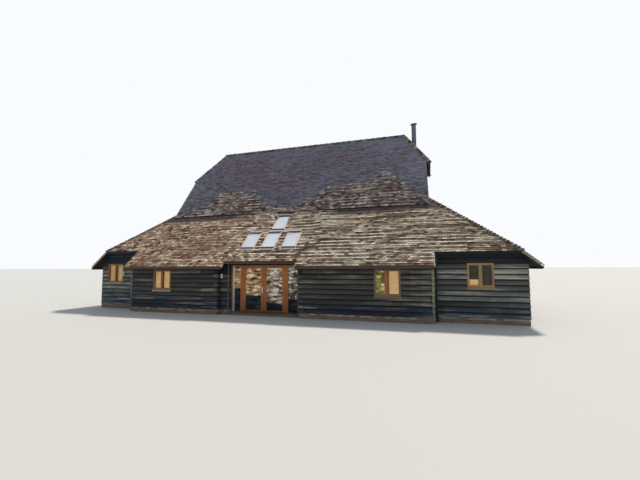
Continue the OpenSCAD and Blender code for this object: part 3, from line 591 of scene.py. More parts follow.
# The blinds are glowing a little: painted light that makes them as bright as blinds in the sun.
BLIND = Masonry(
    "blind_slats",
    *linears((150, 144, 74), (216, 190, 126), (255, 212, 146)),
    scale=5.0,
    depth=0.0005,
    roughness=0.7,
    painted_glow=0.38,
)
ZINC = Metal("pale_cladding", linear(226, 216, 208), 0.1, 0.5, linear(150, 144, 138), 0.2)
LEAD = Metal("pale_flashing", linear(206, 196, 186), 0.1, 0.6, linear(140, 130, 122), 0.2)
DARK_BAR = Metal("dark_bar", linear(52, 58, 72), 0.1, 0.5)
FLUE_STEEL = Metal("flue_steel", linear(84, 92, 106), 0.3, 0.5, linear(50, 56, 66))
BRASS = Metal("hinge_brass", linear(150, 122, 70), 0.9, 0.4)
SATIN = Metal("satin_handle", linear(196, 198, 200), 0.9, 0.3)
WHITE = Metal("white_lantern", linear(232, 232, 226), 0.0, 0.4, linear(150, 150, 144), 0.15)
LANTERN_PANE = Metal("lantern_panes", linear(150, 156, 152), 0.0, 0.15, linear(96, 100, 98), 0.3)
PIPE = Metal("dark_pipe", linear(40, 44, 52), 0.1, 0.5)
GREY_PIPE = Metal("grey_pipe", linear(92, 92, 98), 0.1, 0.5)
OLIVE_PANE = MottledPane(
    "olive_window_pane", -9.0, linears((66, 60, 28), (112, 104, 48), (150, 140, 76), (232, 220, 176))
)
WINDOW_PANE = Pane("window_panes", linear(120, 118, 104), 0.16)
LEFT_LIGHT_PANE = MottledPane("left_light_pane", 1.13)
LEFT_DOOR_PANE = MottledPane("left_door_pane", 0.85)
RIGHT_DOOR_PANE = MottledPane(
    "right_door_pane", 0.56, linears((54, 42, 34), (120, 98, 78), (164, 150, 136), (232, 228, 222))
)
RIGHT_LIGHT_PANE = MottledPane(
    "right_light_pane", 0.7, linears((22, 26, 22), (66, 68, 56), (140, 138, 120), (228, 226, 216))
)
# Nearly opaque, pale blue-white rooflight glass: a painted reflection of the bright sky.
SKY_PANE = Pane("rooflight_panes", linear(228, 232, 242), 0.96, 0.12, 0.6)


# Meshes


@dataclass
class Pile:
    """Faces of like parts gathered for one piece, with a shade for each part and a mark of dirt and painted
    shade.
    """

    verts: list[Vector] = field(default_factory=list)
    faces: list[tuple[int, ...]] = field(default_factory=list)
    shades: list[float] = field(default_factory=list)
    grime_and_shade_marks: list[float] = field(default_factory=list)

    def block(self, corners: Sequence[Vector], shade: float = 0.5) -> None:
        """Add a closed block.

        Args:
            corners: Four corners of the lower or back face in order, then the four over them.
            shade: Shade of the block.
        """
        first = len(self.verts)
        self.verts.extend(corners)
        for face in ((3, 2, 1, 0), (4, 5, 6, 7), (0, 1, 5, 4), (1, 2, 6, 5), (2, 3, 7, 6), (3, 0, 4, 7)):
            self.faces.append(tuple(first + index for index in face))
            self.shades.append(shade)

    def box(self, low: Sequence[float], high: Sequence[float], shade: float = 0.5) -> None:
        """Add an upright box between two corners."""
        (x0, y0, z0), (x1, y1, z1) = low, high
        ring = [(x0, y0), (x1, y0), (x1, y1), (x0, y1)]
        self.block([Vector((x, y, z)) for z in (z0, z1) for x, y in ring], shade)

    def tube(self, rings: Sequence[Sequence[Vector]], shade: float = 0.5) -> None:
        """Add a closed form through rings of equal length, with both ends capped."""
        first, count = len(self.verts), len(rings[0])
        for ring in rings:
            self.verts.extend(ring)
        for level in range(len(rings) - 1):
            base = first + level * count
            for step in range(count):
                after = (step + 1) % count
                self.faces.append((base + step, base + after, base + count + after, base + count + step))
                self.shades.append(shade)
        last = first + (len(rings) - 1) * count
        self.faces.append(tuple(reversed(range(first, first + count))))
        self.faces.append(tuple(range(last, last + count)))
        self.shades.extend((shade, shade))

    def build(
        self,
        name: str,
        material: Material,
        slot: str,
        body: str = BUILDING,
        cuts: Sequence[tuple[Vector, Vector]] = (),
    ) -> Piece:
        """Make the piece.

        Args:
            name: Name of the piece.
            material: Its finish.
            slot: Not used.
            body: The body that it moves with.
            cuts: Planes, each as a point and a direction. What lies on that side is cut off.

        Returns:
            The new object.
        """
        mesh = bpy.data.meshes.new(name)
        mesh.from_pydata([tuple(v) for v in self.verts], [], self.faces)
        grime_and_shade_marks = self.grime_and_shade_marks + [0.0] * (len(self.faces) - len(self.grime_and_shade_marks))
        for label, values in (("shade", self.shades), ("grime_and_shade", grime_and_shade_marks)):
            mesh.attributes.new(label, "FLOAT", "FACE").data.foreach_set("value", values)
        work = bmesh.new()
        work.from_mesh(mesh)
        for point, direction in cuts:
            whole = work.verts[:] + work.edges[:] + work.faces[:]
            cut = bmesh.ops.bisect_plane(
                work, geom=whole, plane_co=point, plane_no=direction, clear_outer=True
            )
            edges = [e for e in cut["geom_cut"] if isinstance(e, bmesh.types.BMEdge)]
            bmesh.ops.holes_fill(work, edges=edges, sides=0)
        bmesh.ops.recalc_face_normals(work, faces=work.faces)
        work.to_mesh(mesh)
        work.free()
        mesh.materials.append(material)
        piece = bpy.data.objects.new(name, mesh)
        bpy.context.scene.collection.objects.link(piece)
        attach(piece, body)
        log.info("%s: %d faces", name, len(mesh.polygons))
        return piece


class Side(Enum):
    """Which face of a slab a plane is taken from."""

    UPPER = 1
    LOWER = -1


def slab_plane(node: str, side: Side) -> tuple[Vector, Vector]:
    """Find the sloping face of a roof slab.

    Args:
        node: The slab's node.
        side: Its upper or lower face.

    Returns:
        A point on the face and its outward direction.
    """
    mesh = frame["nodes"][node].data
    faces = [p for p in mesh.polygons if p.normal.z * side.value > 0.3]
    widest = max(faces, key=lambda p: p.area)
    return mesh.vertices[widest.vertices[0]].co.copy(), widest.normal.copy()


@dataclass
class Slope:
    """The upper face of a roof slab, with places given along the eave and up the slope."""

    node: str
    origin: Vector = field(init=False)
    out: Vector = field(init=False)
    up: Vector = field(init=False)
    along: Vector = field(init=False)
    edges: list[Four] = field(init=False)
    length: float = field(init=False)

    def __post_init__(self) -> None:
        """Measure the slab."""
        mesh = frame["nodes"][self.node].data
        _, self.out = slab_plane(self.node, Side.UPPER)
        self.along = Vector((0, 0, 1)).cross(self.out).normalized()
        self.up = self.out.cross(self.along)
        faces = [p for p in mesh.polygons if p.normal.dot(self.out) > 0.999]
        corners = {i for p in faces for i in p.vertices}
        lowest = min((mesh.vertices[i].co for i in corners), key=lambda co: co.z)
        self.origin = lowest - self.along * lowest.dot(self.along)
        seen: dict[tuple[int, int], int] = {}
        for face in faces:
            for key in face.edge_keys:
                seen[key] = seen.get(key, 0) + 1
        self.edges = []
        for (a, b), times in seen.items():
            if times == 1:
                ends = [mesh.vertices[i].co - self.origin for i in (a, b)]
                self.edges.append(tuple(v for end in ends for v in (end.dot(self.along), end.dot(self.up))))
        self.length = max(max(edge[1], edge[3]) for edge in self.edges)

    def at(self, across: float, rise: float, lift: float = 0.0) -> Vector:
        """Give a point from its place along the eave, up the slope and off the slab."""
        return self.origin + self.along * across + self.up * rise + self.out * lift

    def spans(self, rise: float) -> list[Span]:
        """Give the stretches of slab at one height up the slope."""
        hits = sorted(
            u0 + (u1 - u0) * (rise - v0) / (v1 - v0)
            for u0, v0, u1, v1 in self.edges
            if (v0 - rise) * (v1 - rise) < 0
        )
        return list(zip(hits[::2], hits[1::2]))

    def courses(self, gauge: float) -> list[tuple[float, Four]]:
        """Divide the slab into courses.

        Args:
            gauge: Height of a course up the slope.

        Returns:
            Each stretch of a course as its height, and its left and right ends at the tail
            and at the head: left tail, right tail, left head, right head.
        """
        low_share, high_share, slant = 0.45, 0.9, 0.2
        found = []
        for course in range(int(self.length / gauge) + 1):
            rise = course * gauge
            for a, b in self.spans(rise + gauge * low_share):
                for c, d in self.spans(rise + gauge * high_share):
                    if min(b, d) <= max(a, c):
                        continue
                    ends = []
                    for low, high, inner in ((a, c, max(a, c)), (b, d, min(b, d))):
                        if abs(low - high) > slant:
                            ends.append((inner, inner))
                        else:
                            step = (high - low) / (high_share - low_share)
                            ends.append((low - step * low_share, high + step * (1 - high_share)))
                    (left, left_head), (right, right_head) = ends
                    found.append((rise, (left, right, left_head, right_head)))
        return found


# Roof


def smooth(value: float, low: float, high: float) -> float:
    """Give 0 below low, 1 above high and a soft rise between them."""
    share = min(1.0, max(0.0, (value - low) / (high - low)))
    return share * share * (3 - 2 * share)


def follow(points: Sequence[Span], place: float) -> float:
    """Read a value off a line drawn through points, level past its ends."""
    if place <= points[0][0]:
        return points[0][1]
    for (x0, y0), (x1, y1) in zip(points, points[1:]):
        if place <= x1:
            return y0 + (y1 - y0) * (place - x0) / (x1 - x0)
    return points[-1][1]


def wander(across: float, rise: float, waves: Span, salt: float) -> float:
    """Give a value from -1 to 1 that wanders over a slope.

    Args:
        across: Place along the eave.
        rise: Place up the slope.
        waves: How fast it wanders along the eave and up the slope.
        salt: Picks one pattern out of many.

    Returns:
        The value.
    """
    return noise.noise(Vector((across * waves[0], rise * waves[1], salt)))


@dataclass
class TiledSlope:
    """Plain clay tiles on one slope, lapped up the roof in courses that wander with age."""

    node: str
    finish: ClayTile
    seed: int
    run_shade: float = 0.32
    tile_shade: float = 0.23
    blotch: float = 0.4
    # Courses lighter and darker in turn: painted light and shade for the sunlit faces and shadowed butts of
    # the courses.
    painted_course_shade: float = 0.2
    gauge: float = 0.1
    width: float = 0.165
    joint: float = 0.005
    thickness: float = 0.013
    lap: float = 0.6
    bed: float = 0.002
    camber: float = 0.005
    lift: float = 0.010
    sweep: float = 0.016
    slip: float = 0.006
    drift: float = 0.020
    wave: float = 0.012
    wave_size: float = 0.45
    eave_trim: float = 0.02
    shift: float = 0.003
    twist: float = 0.004
    eave_lift: float = 0.3
    least_width: float = 0.02
    least_height: float = 0.03
    strength: Callable[[float], float] | None = None
    tone: Callable[[float, float], float] | None = None
    swell: Callable[[float, float], float] | None = None
    grime_and_shade: Callable[[float, float], float] | None = None

    def roll(self, across: float, rise: float) -> float:
        """Give how far the old battens stand out at a place, always above the slab."""
        waves = (self.wave_size, self.wave_size)
        height = self.wave * (0.5 + 0.5 * wander(across, rise, waves, self.seed * 7.3))
        return height + (self.swell(across, rise) if self.swell else 0.0)

    def lay(self, finishes: Finishes) -> None:
        """Lay the tiles, as one piece for the slope."""
        slope, draw, pile = Slope(self.node), random.Random(self.seed), Pile()
        reach = self.gauge * (1 + self.lap)
        for rise, (left, right, left_head, right_head) in slope.courses(self.gauge):
            row = round(rise / self.gauge)
            start = math.floor(min(left, left_head) / self.width) - 1
            count = int((max(right, right_head) - min(left, left_head)) / self.width) + 3
            for number in range(start, start + count):
                u0 = (number + 0.5 * (row % 2)) * self.width + draw.uniform(-self.shift, self.shift)
                u1 = u0 + self.width - self.joint
                tail = (min(max(u0, left), right), min(max(u1, left), right))
                head = (min(max(u0, left_head), right_head), min(max(u1, left_head), right_head))
                slip, skew = draw.uniform(-self.slip, self.slip), draw.uniform(-self.twist, self.twist)
                swept = 0.5 + wander(u0, row, (0.7, 3.7), self.seed * 1.9)
                raised = draw.uniform(0, self.lift) + self.sweep * max(0.0, min(1.0, swept))
                raised *= 1.0 if row else self.eave_lift
                long_run = wander(u0, row, (0.7, 2.3), self.seed * 3.1)
                short_run = wander(u0, row, (2.1, 4.7), self.seed * 5.3)
                patch = wander(u0, rise, (4.4, 3.8), self.seed * 2.7)
                # Where paired, the courses turn lighter and darker in turn: the painted course light and
                # shade.
                paired = smooth(wander(u0, rise, (0.5, 0.9), self.seed), -0.3, 0.4)
                light_and_shade_swing = paired * (1 - 2 * (row % 2))
                gain = self.strength(u0) if self.strength else 1.0
                runs = gain * self.run_shade * (0.6 * gain**2 * long_run + short_run)
                runs += self.blotch * patch
                runs += self.painted_course_shade * gain**2 * light_and_shade_swing
                shade = 0.5 + gain * (draw.gauss(0.0, self.tile_shade) + runs)
                shade += self.tone(u0, rise) if self.tone else 0.0
                grime_and_shade = self.grime_and_shade(u0, rise) + draw.uniform(-0.1, 0.1) if self.grime_and_shade else 0.0
                if max(tail[1] - tail[0], head[1] - head[0]) < self.least_width:
                    continue
                bend = self.drift * wander(u0, rise, (0.35, 2.6), self.seed)
                low = max(rise + slip + bend * smooth(rise, 0.0, 0.5), -self.eave_trim)
                high = min(low + reach, slope.length - 0.002)
                if high - low > self.least_height:
                    marks = min(1.0, max(0.0, shade)), max(0.0, grime_and_shade)
                    self.tile(pile, slope, low, high, reach, tail, head, raised, skew, marks)
        pile.build(self.node + "_tiles", finishes.get(self.finish), "roof_tiles")

    def tile(
        self,
        pile: Pile,
        slope: Slope,
        low: float,
        high: float,
        reach: float,
        tail: Span,
        head: Span,
        raised: float,
        skew: float,
        marks: tuple[float, float],
    ) -> None:
        """Add one cambered tile.

        Args:
            pile: Where it goes.
            slope: The slab under it.
            low: Place of its tail up the slope.
            high: Place of its head up the slope.
            reach: Full length of such a tile.
            tail: Its left and right ends at the tail.
            head: Its left and right ends at the head.
            raised: How far its tail is lifted.
            skew: How far it is turned.
            marks: Its shade, and its mark of dirt and painted shade.
        """
        tail_top = self.bed + self.thickness * (2 + self.lap) + raised
        head_top = tail_top + (self.bed + self.thickness - tail_top) * (high - low) / reach
        bottom, top = [], []
        for v, ends, height, camber in ((low, tail, tail_top, self.camber), (high, head, head_top, 0.0)):
            points = (ends[0], (ends[0] + ends[1]) / 2, ends[1])
            for place, u in enumerate(points):
                turn = skew * (place - 1) if v == low else 0.0
                ground = self.roll(u, v) + (camber if place == 1 else 0.0)
                bottom.append(slope.at(u, v + turn, ground + height - self.thickness))
                top.append(slope.at(u, v + turn, ground + height))
        first = len(pile.verts)
        pile.verts.extend(bottom + top)
        faces = [(0, 3, 4, 1), (1, 4, 5, 2), (6, 7, 10, 9), (7, 8, 11, 10)]
        ring = [0, 1, 2, 5, 4, 3]
        for step, here in enumerate(ring):
            after = ring[(step + 1) % 6]
            faces.append((here, after, after + 6, here + 6))
        # The butt faces take a painted shade, darker than the tops of the tiles.
        butts = (4, 5)
        for place, face in enumerate(faces):
            pile.faces.append(tuple(first + index for index in face))
            pile.shades.append(marks[0] * 0.4 if place in butts else marks[0])
            pile.grime_and_shade_marks.append(marks[1])


@dataclass
class CappedLine:
    """A row of round tiles astride a hip or the ridge, each with its tail kicked up."""

    top: Vector
    foot: Vector
    slopes: tuple[Vector, Vector]
    piece: float
    seed: int
    radius: float = 0.108
    proud: float = 0.05
    flare: float = 0.036
    taper: float = 0.012
    thickness: float = 0.014
    lap: float = 0.35
    arc: int = 10
    light_and_shade_swing: float = 0.2
    kick: Span = (-0.004, 0.008)
    bedded: float = 0.92

    def add_to(self, pile: Pile) -> None:
        """Add the row of tiles to a pile."""
        run = self.top - self.foot
        up = run.normalized()
        crown = (self.slopes[0] + self.slopes[1]).normalized()
        crown = (crown - up * crown.dot(up)).normalized()
        side = up.cross(crown)
        reach = [self.spread(normal, side, crown) for normal in self.slopes]
        draw = random.Random(self.seed)
        count = max(1, round(run.length / self.piece))
        step = run.length / count
        for number in range(count):
            foot = self.foot + up * (step * number)
            # Lighter and darker in turn: painted light and shade of sunlit and shadowed bonnets.
            light_and_shade_swing = self.light_and_shade_swing * (1 - 2 * (number % 2))
            raised, shade = draw.uniform(*self.kick), min(1, max(0, draw.gauss(0.5, 0.2) + light_and_shade_swing))
            rings = []
            for share, grow, lift in ((0.0, self.taper, self.flare + raised), (1 + self.lap, 0.0, 0.0)):
                centre = foot + up * (step * share) + crown * (self.proud - self.radius + lift)
                outer, inner = [], []
                for index in range(self.arc + 1):
                    angle = -reach[0] + (reach[0] + reach[1]) * index / self.arc
                    ray = crown * math.cos(angle) + side * math.sin(angle)
                    outer.append(centre + ray * (self.radius + grow))
                    inner.append(centre + ray * (self.radius + grow - self.thickness))
                rings.append(outer + inner[::-1])
            pile.tube(rings, shade)

    def spread(self, normal: Vector, side: Vector, crown: Vector) -> float:
        """Give the angle down to where the round tile meets a slope."""
        down = Vector((side.dot(normal), crown.dot(normal)))
        tilt = math.atan2(abs(down.x), down.y)
        drop = (self.radius - self.proud) * math.cos(tilt)
        return tilt + math.acos(min(1.0, drop / self.radius)) * self.bedded


def mirrored(mark: Callable[[float, float], float]) -> Callable[[float, float], float]:
    """Give a mark on a slope as it is seen from behind."""

    def behind(across: float, rise: float) -> float:
        """Read the mark from the other end."""
        return mark(-across, rise)

    return behind


@dataclass
class UpperWearAndShade:
    """The marks of age on the upper roof: swollen clean tiles low down, and dirt with painted shade over
    them.
    """

    verge: float
    clean_edge: tuple[Span, ...] = (
        (-6.3, 0.2), (-5.5, 0.6), (-4.9, 1.0), (-4.6, 1.75), (-3.8, 1.83), (-3.1, 1.69), (-2.5, 1.5),
        (-1.65, 0.95), (-1.2, 0.62), (-0.6, 0.38), (0.1, 0.35), (0.7, 0.6), (1.1, 0.95), (1.6, 1.3),
        (1.8, 1.58), (2.4, 1.58), (3.3, 1.69), (3.7, 1.85), (4.2, 2.3), (4.5, 2.28), (5.1, 1.73),
        (5.65, 1.26), (5.85, 0.8), (6.45, 0.36),
    )
    bulge: float = 0.018
    ease: float = 0.35
    end_fade: Span = (0.1, 0.9)
    blur: Span = (-0.4, 0.55)
    tint: Span = (0.34, 0.84)
    grey_edge: Span = (0.5, 1.3)
    grey_top: Span = (3.9, 5.0)

    def over_edge(self, across: float, rise: float) -> float:
        """Give how far a place lies over the edge of the clean tiles."""
        return rise - follow(self.clean_edge, across)

    def swell(self, across: float, rise: float) -> float:
        """Swell the lower part of the roof, where its tiles are clean."""
        inside = smooth(self.verge - abs(across), *self.end_fade)
        below = max(0.0, -self.over_edge(across, rise))
        return self.bulge * inside * below * below / (below + self.ease)

    def grime_and_shade(self, across: float, rise: float) -> float:
        """Darken the upper part of the roof, greyer towards the verges: dirt together with a painted shade of
        the steep upper slope that the sun barely reaches.
        """
        ragged = 0.2 * wander(across, rise, (1.1, 2.3), 4.2)
        ragged += 0.3 * wander(across, rise, (4.3, 5.9), 1.7)
        above = smooth(self.over_edge(across, rise) + ragged, *self.blur)
        least, most = self.tint
        tint = max(least, min(most, 0.6 + 0.4 * wander(across, rise, (0.45, 0.6), 9.1)))
        edge = smooth(self.verge - abs(across), *self.grey_edge)
        edge *= 1 - 0.7 * smooth(rise, *self.grey_top)
        return above * (least + (tint - least) * edge)

    def tone(self, across: float, rise: float) -> float:
        """Let the roof be paler to the right and high up, and darkest over its clean tiles."""
        over = 1 - smooth(abs(self.over_edge(across, rise) - 0.45), 0.1, 0.7)
        right = 0.26 * smooth(across, 2.0, 6.0) * smooth(rise, 1.2, 2.4)
        return right + 0.28 * smooth(rise, 3.6, 5.0) - 0.14 * over


@dataclass
class AisleWearAndShade:
    """The marks of age on the front aisle: tiles lifted towards the upper eave, and a painted shadow of that
    eave on them.
    """

    slope: Slope
    top: float
    rooflights: float
    lifts: tuple[Span, ...] = (
        (-6.5, 0.06), (-4.2, 0.07), (-2.4, 0.075), (-1.3, 0.11), (-0.65, 0.11), (-0.5, 0.045),
        (0.3, 0.045), (0.45, 0.11), (1.9, 0.105), (2.6, 0.07), (5.2, 0.065), (5.7, 0.075), (6.5, 0.065),
    )
    reach: Span = (1.1, 3.2)
    beside_lights: Span = (1.5, 2.6)
    hip_fade: Span = (0.05, 0.5)

    def swell(self, across: float, rise: float) -> float:
        """Lift the tiles towards the upper eave, but not beside the hips."""
        near, far = self.reach
        reach = near + (far - near) * smooth(abs(across - self.rooflights), *self.beside_lights)
        ends = self.slope.spans(min(max(rise, 0.01), self.slope.length - 0.01))
        inside = smooth(min(across - ends[0][0], ends[-1][1] - across), *self.hip_fade)
        return follow(self.lifts, across) * smooth(rise, self.top - reach, self.top) * inside

    def grime_and_shade(self, across: float, rise: float) -> float:
        """Grey the tiles towards the right, and darken them close under the upper eave with a painted shadow
        of that eave.
        """
        left = smooth(rise, self.top - 0.34, self.top - 0.24) * smooth(-across, 2.0, 3.2)
        right = smooth(rise, self.top - 0.24, self.top - 0.14) * smooth(across, 1.9, 2.6)
        return 0.04 + 0.12 * smooth(across, -3.0, 3.0) + 0.85 * max(left, right)

    def strength(self, across: float) -> float:
        """Let the light and dark of the tiles grow towards the right."""
        return 0.85 + 0.97 * smooth(across, -3.5, 2.5)

    def tone(self, across: float, rise: float) -> float:
        """Let the tiles be paler under the upper eave, a painted light where the lifted tiles there catch
        little sun, paler in the middle, and darker on the wing.
        """
        right = 0.13 * smooth(across, -4.0, 0.5) - 0.3 * smooth(across, 6.2, 7.2)
        return 0.14 * smooth(rise, self.top - 1.2, self.top - 0.4) + right


@dataclass
class PlainWearAndShade:
    """The marks of age on the half hips, the back and the ends, and a painted shade on the back and the ends.
    """

    # A painted shade for the sunlit back and end roofs.
    darker: float = -0.18
    sooty: Span = (0.5, 0.35)
    dusty: Span = (0.11, 0.06)

    def tone(self, across: float, rise: float) -> float:
        """Let the roofs at the back and the ends be a shade darker: a painted shade that tempers the sun
        falling full on them.
        """
        return self.darker

    def soot(self, across: float, rise: float) -> float:
        """Darken the half hips all over."""
        return self.sooty[0] + self.sooty[1] * wander(across, rise, (0.6, 0.8), 2.6)

    def dust(self, across: float, rise: float) -> float:
        """Lay a little grey on the lower roofs."""
        return self.dusty[0] + self.dusty[1] * wander(across, rise, (0.5, 0.7), 5.5)


@dataclass
class Roof:
    """All the tiling of the building, with its hips, ridge, verges and eaves."""

    finishes: Finishes
    tilings: dict[str, TiledSlope] = field(default_factory=dict)
    hip_piece: float = 0.145
    half_hip_piece: float = 0.2
    ridge_piece: float = 0.33
    verge_width: float = 0.05
    verge_inside: float = 0.025
    verge_outside: float = 0.018
    verge_over: float = 0.008
    verge_share: float = 0.94
    least_verge: float = 0.25
    fillet_piece: float = 0.3
    fillet_rise: Span = (0.004, 0.045)
    fillet_sunk: float = 0.01
    fillet_share: float = 1.3

    def dress(self) -> None:
        """Lay every slope and cap every hip and the ridge."""
        self.lay_slopes()
        self.cap_ridge()
        self.cap_hips()
        self.edge_verges()
        self.finish_slabs()

    def lay_slopes(self) -> None:
        """Lay the tiles of the eight slopes."""
        low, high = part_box("nave_roof_front")
        aisle = Slope("aisle_roof_front")
        aisle_top = (Vector((0, low.y, 0)) - aisle.origin).y / aisle.up.y
        rooflights = sum(corner.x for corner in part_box("rooflight_frames")) / 2
        upper, lower, plain = UpperWearAndShade(high.x), AisleWearAndShade(aisle, aisle_top, rooflights), PlainWearAndShade()
        shades = {"run_shade": 0.4, "tile_shade": 0.14, "tone": plain.tone, "grime_and_shade": plain.dust}
        plans = (
            TiledSlope(
                "nave_roof_front", UPPER_TILES, 11,
                tone=upper.tone, swell=upper.swell, grime_and_shade=upper.grime_and_shade,
            ),
            TiledSlope(
                "nave_roof_back", UPPER_TILES, 12,
                tone=plain.tone, swell=mirrored(upper.swell), grime_and_shade=mirrored(upper.grime_and_shade),
            ),
            TiledSlope("half_hip_left", UPPER_TILES, 13, grime_and_shade=plain.soot),
            TiledSlope("half_hip_right", UPPER_TILES, 14, grime_and_shade=plain.soot),
            TiledSlope(
                "aisle_roof_front", LOWER_TILES, 15, run_shade=0.34, tile_shade=0.25,
                strength=lower.strength, tone=lower.tone, swell=lower.swell, grime_and_shade=lower.grime_and_shade,
            ),
            TiledSlope("aisle_roof_back", LOWER_TILES, 16, **shades),
            TiledSlope("end_roof_left", LOWER_TILES, 17, **shades),
            TiledSlope("end_roof_right", LOWER_TILES, 18, **shades),
        )
        for tiling in plans:
            tiling.lay(self.finishes)
            self.tilings[tiling.node] = tiling

    def cap_ridge(self) -> None:
        """Set the ridge tiles."""
        low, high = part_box("ridge_tiles")
        front, back = Slope("nave_roof_front"), Slope("nave_roof_back")
        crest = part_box("nave_roof_front")[1].z
        pile = Pile()
        past = 0.04
        ends = Vector((low.x - past, 0, crest)), Vector((high.x + past, 0, crest))
        slopes = (front.out, back.out)
        row = CappedLine(
            *ends, slopes, self.ridge_piece, 21, radius=0.125, proud=0.066, flare=0.012, lap=0.08
        )
        row.add_to(pile)
        piece = pile.build("ridge_tile_row", self.finishes.get(RIDGE_CLAY), "ridge_and_hip_tiles")
        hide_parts("ridge_tiles")

    def cap_hips(self) -> None:
        """Set the hip tiles on the half hips and on the long hips."""
        pile = Pile()
        seed = 30
        for end in ("left", "right"):
            for face, y_side in (("front", -1), ("back", 1)):
                top, foot, slopes = self.hip("half_hip_" + end, "nave_roof_" + face, y_side)
                row = CappedLine(
                    top, foot, slopes, self.half_hip_piece, seed, proud=0.052, flare=0.018, thickness=0.013
                )
                row.add_to(pile)
                top, foot, slopes = self.hip("end_roof_" + end, "aisle_roof_" + face, y_side)
                CappedLine(top, foot, slopes, self.hip_piece, seed + 50).add_to(pile)
                seed += 1
        piece = pile.build("hip_tile_rows", self.finishes.get(HIP_CLAY), "ridge_and_hip_tiles")
        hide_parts("hip_tiles")

    def hip(self, end_node: str, long_node: str, y_side: int) -> tuple[Vector, Vector, tuple[Vector, Vector]]:
        """Find a hip.

        Args:
            end_node: The slab on the end of the building.
            long_node: The slab on its front or back.
            y_side: -1 at the front and 1 at the back.

        Returns:
            The hip's top and foot, and the outward directions of the two slopes.
        """
        end_slope, long_slope = Slope(end_node), Slope(long_node)
        mesh = frame["nodes"][end_node].data
        shared, near = [], 0.002
        for vertex in mesh.vertices:
            co = vertex.co
            on_end = abs((co - end_slope.origin).dot(end_slope.out)) < near
            on_long = abs((co - long_slope.origin).dot(long_slope.out)) < near
            if on_end and on_long and co.y * y_side > -0.001:
                shared.append(co.copy())
        shared.sort(key=lambda co: co.z)
        return shared[-1], shared[0], (end_slope.out, long_slope.out)

    def edge_verges(self) -> None:
        """Lay mortar along the tile ends of every verge, and fillets under the eave courses."""
        mortar, fillets, upper_fillets = Pile(), Pile(), Pile()
        draw = random.Random(23)
        for node, tiling in self.tilings.items():
            slope = Slope(node)
            for u0, v0, u1, v1 in slope.edges:
                low, high = min(v0, v1), max(v0, v1)
                upright = abs(u0 - u1) < 0.001 and high - low > self.least_verge
                if upright and not self.beside_rooflight(node, u0, low):
                    middle = (low + high) / 2
                    starts = any(abs(span[0] - u0) < 0.01 for span in slope.spans(middle))
                    self.verge(mortar, slope, tiling, u0, (low, high), -1 if starts else 1, draw)
                elif abs(v0 - v1) < 0.001 and low < 0.5 and abs(u0 - u1) > self.fillet_piece:
                    target = upper_fillets if node.startswith(("nave", "half")) else fillets
                    self.fillet(target, slope, tiling, sorted((u0, u1)), low)
        for pile, name, finish in (
            (mortar, "verge_mortar", VERGE_MORTAR),
            (fillets, "tilting_fillets", FASCIA),
            (upper_fillets, "upper_tilting_fillets", DARK_FASCIA),
        ):
            pile.build(name, self.finishes.get(finish), "weathered_boards")

    def beside_rooflight(self, node: str, across: float, low: float) -> bool:
        """Tell whether an edge is a side of a rooflight's hole."""
        return node == "aisle_roof_front" and low > 0.5 and abs(across) < 3.0

    def verge(
        self,
        pile: Pile,
        slope: Slope,
        tiling: TiledSlope,
        across: float,
        rise: Span,
        outward: int,
        draw: random.Random,
    ) -> None:
        """Add the mortar bedding along one verge, broken into short lengths.

        Args:
            pile: Where it goes.
            slope: The slab.
            tiling: The tiles on the slab.
            across: Place of the verge along the eave.
            rise: Its foot and its head up the slope.
            outward: 1 or -1, the side on which the slab ends.
            draw: Draws of the mortar's shade.
        """
        step = tiling.gauge
        inner, outer = across - self.verge_inside * outward, across + self.verge_outside * outward
        count = max(1, round((rise[1] - rise[0]) / step))
        for number in range(count):
            a = rise[0] + (rise[1] - rise[0]) * number / count
            b = rise[0] + (rise[1] - rise[0]) * (number + self.verge_share) / count
            ring = ((inner, a), (outer, a), (outer, b), (inner, b))
            lower = [slope.at(u, v, -self.verge_width) for u, v in ring]
            upper = [slope.at(u, v, tiling.roll(u, v) + tiling.bed + self.verge_over) for u, v in ring]
            pile.block(lower + upper, 0.7 * draw.random() if number else 1.0)

    def fillet(
        self, pile: Pile, slope: Slope, tiling: TiledSlope, across: Sequence[float], rise: float
    ) -> None:
        """Add the timber strip that tilts the eave course of one slope."""
        count = max(1, round((across[1] - across[0]) / self.fillet_piece))
        v0, v1 = (rise + step for step in self.fillet_rise)
        height = tiling.bed + tiling.thickness * self.fillet_share
        for number in range(count):
            u0 = across[0] + (across[1] - across[0]) * number / count
            u1 = across[0] + (across[1] - across[0]) * (number + 1) / count
            ring = ((u0, v0), (u1, v0), (u1, v1), (u0, v1))
            lower = [slope.at(u, v, -self.fillet_sunk) for u, v in ring]
            upper = [slope.at(u, v, tiling.roll(u, v) + height) for u, v in ring]
            pile.block(lower + upper, 0.5)

    def finish_slabs(self) -> None:
        """Give the slabs dark undersides, and weathered boards on the upright faces of their edges."""
        get = self.finishes.get
        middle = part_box("corner_boards")
        for node in self.tilings:
            mesh = frame["nodes"][node].data
            mesh.materials.clear()
            under, edge, wing_edge = RAFTERS, SLAB_EDGE, DARK_FASCIA
            if node.startswith("nave"):
                edge = wing_edge = UPPER_FASCIA
            elif node.startswith("half"):
                under = edge = wing_edge = SLATE_SOFFIT
            for finish in (under, edge, wing_edge):
                mesh.materials.append(get(finish))
            for face in mesh.polygons:
                wing = not middle[0].x - 0.2 < face.center.x < middle[1].x + 0.2
                face.material_index = (2 if wing else 1) if abs(face.normal.z) < 0.2 else 0


# Walls


@dataclass
class Opening:
    """A window or door in a wall, as places along it and heights."""

    left: float
    right: float
    foot: float
    head: float


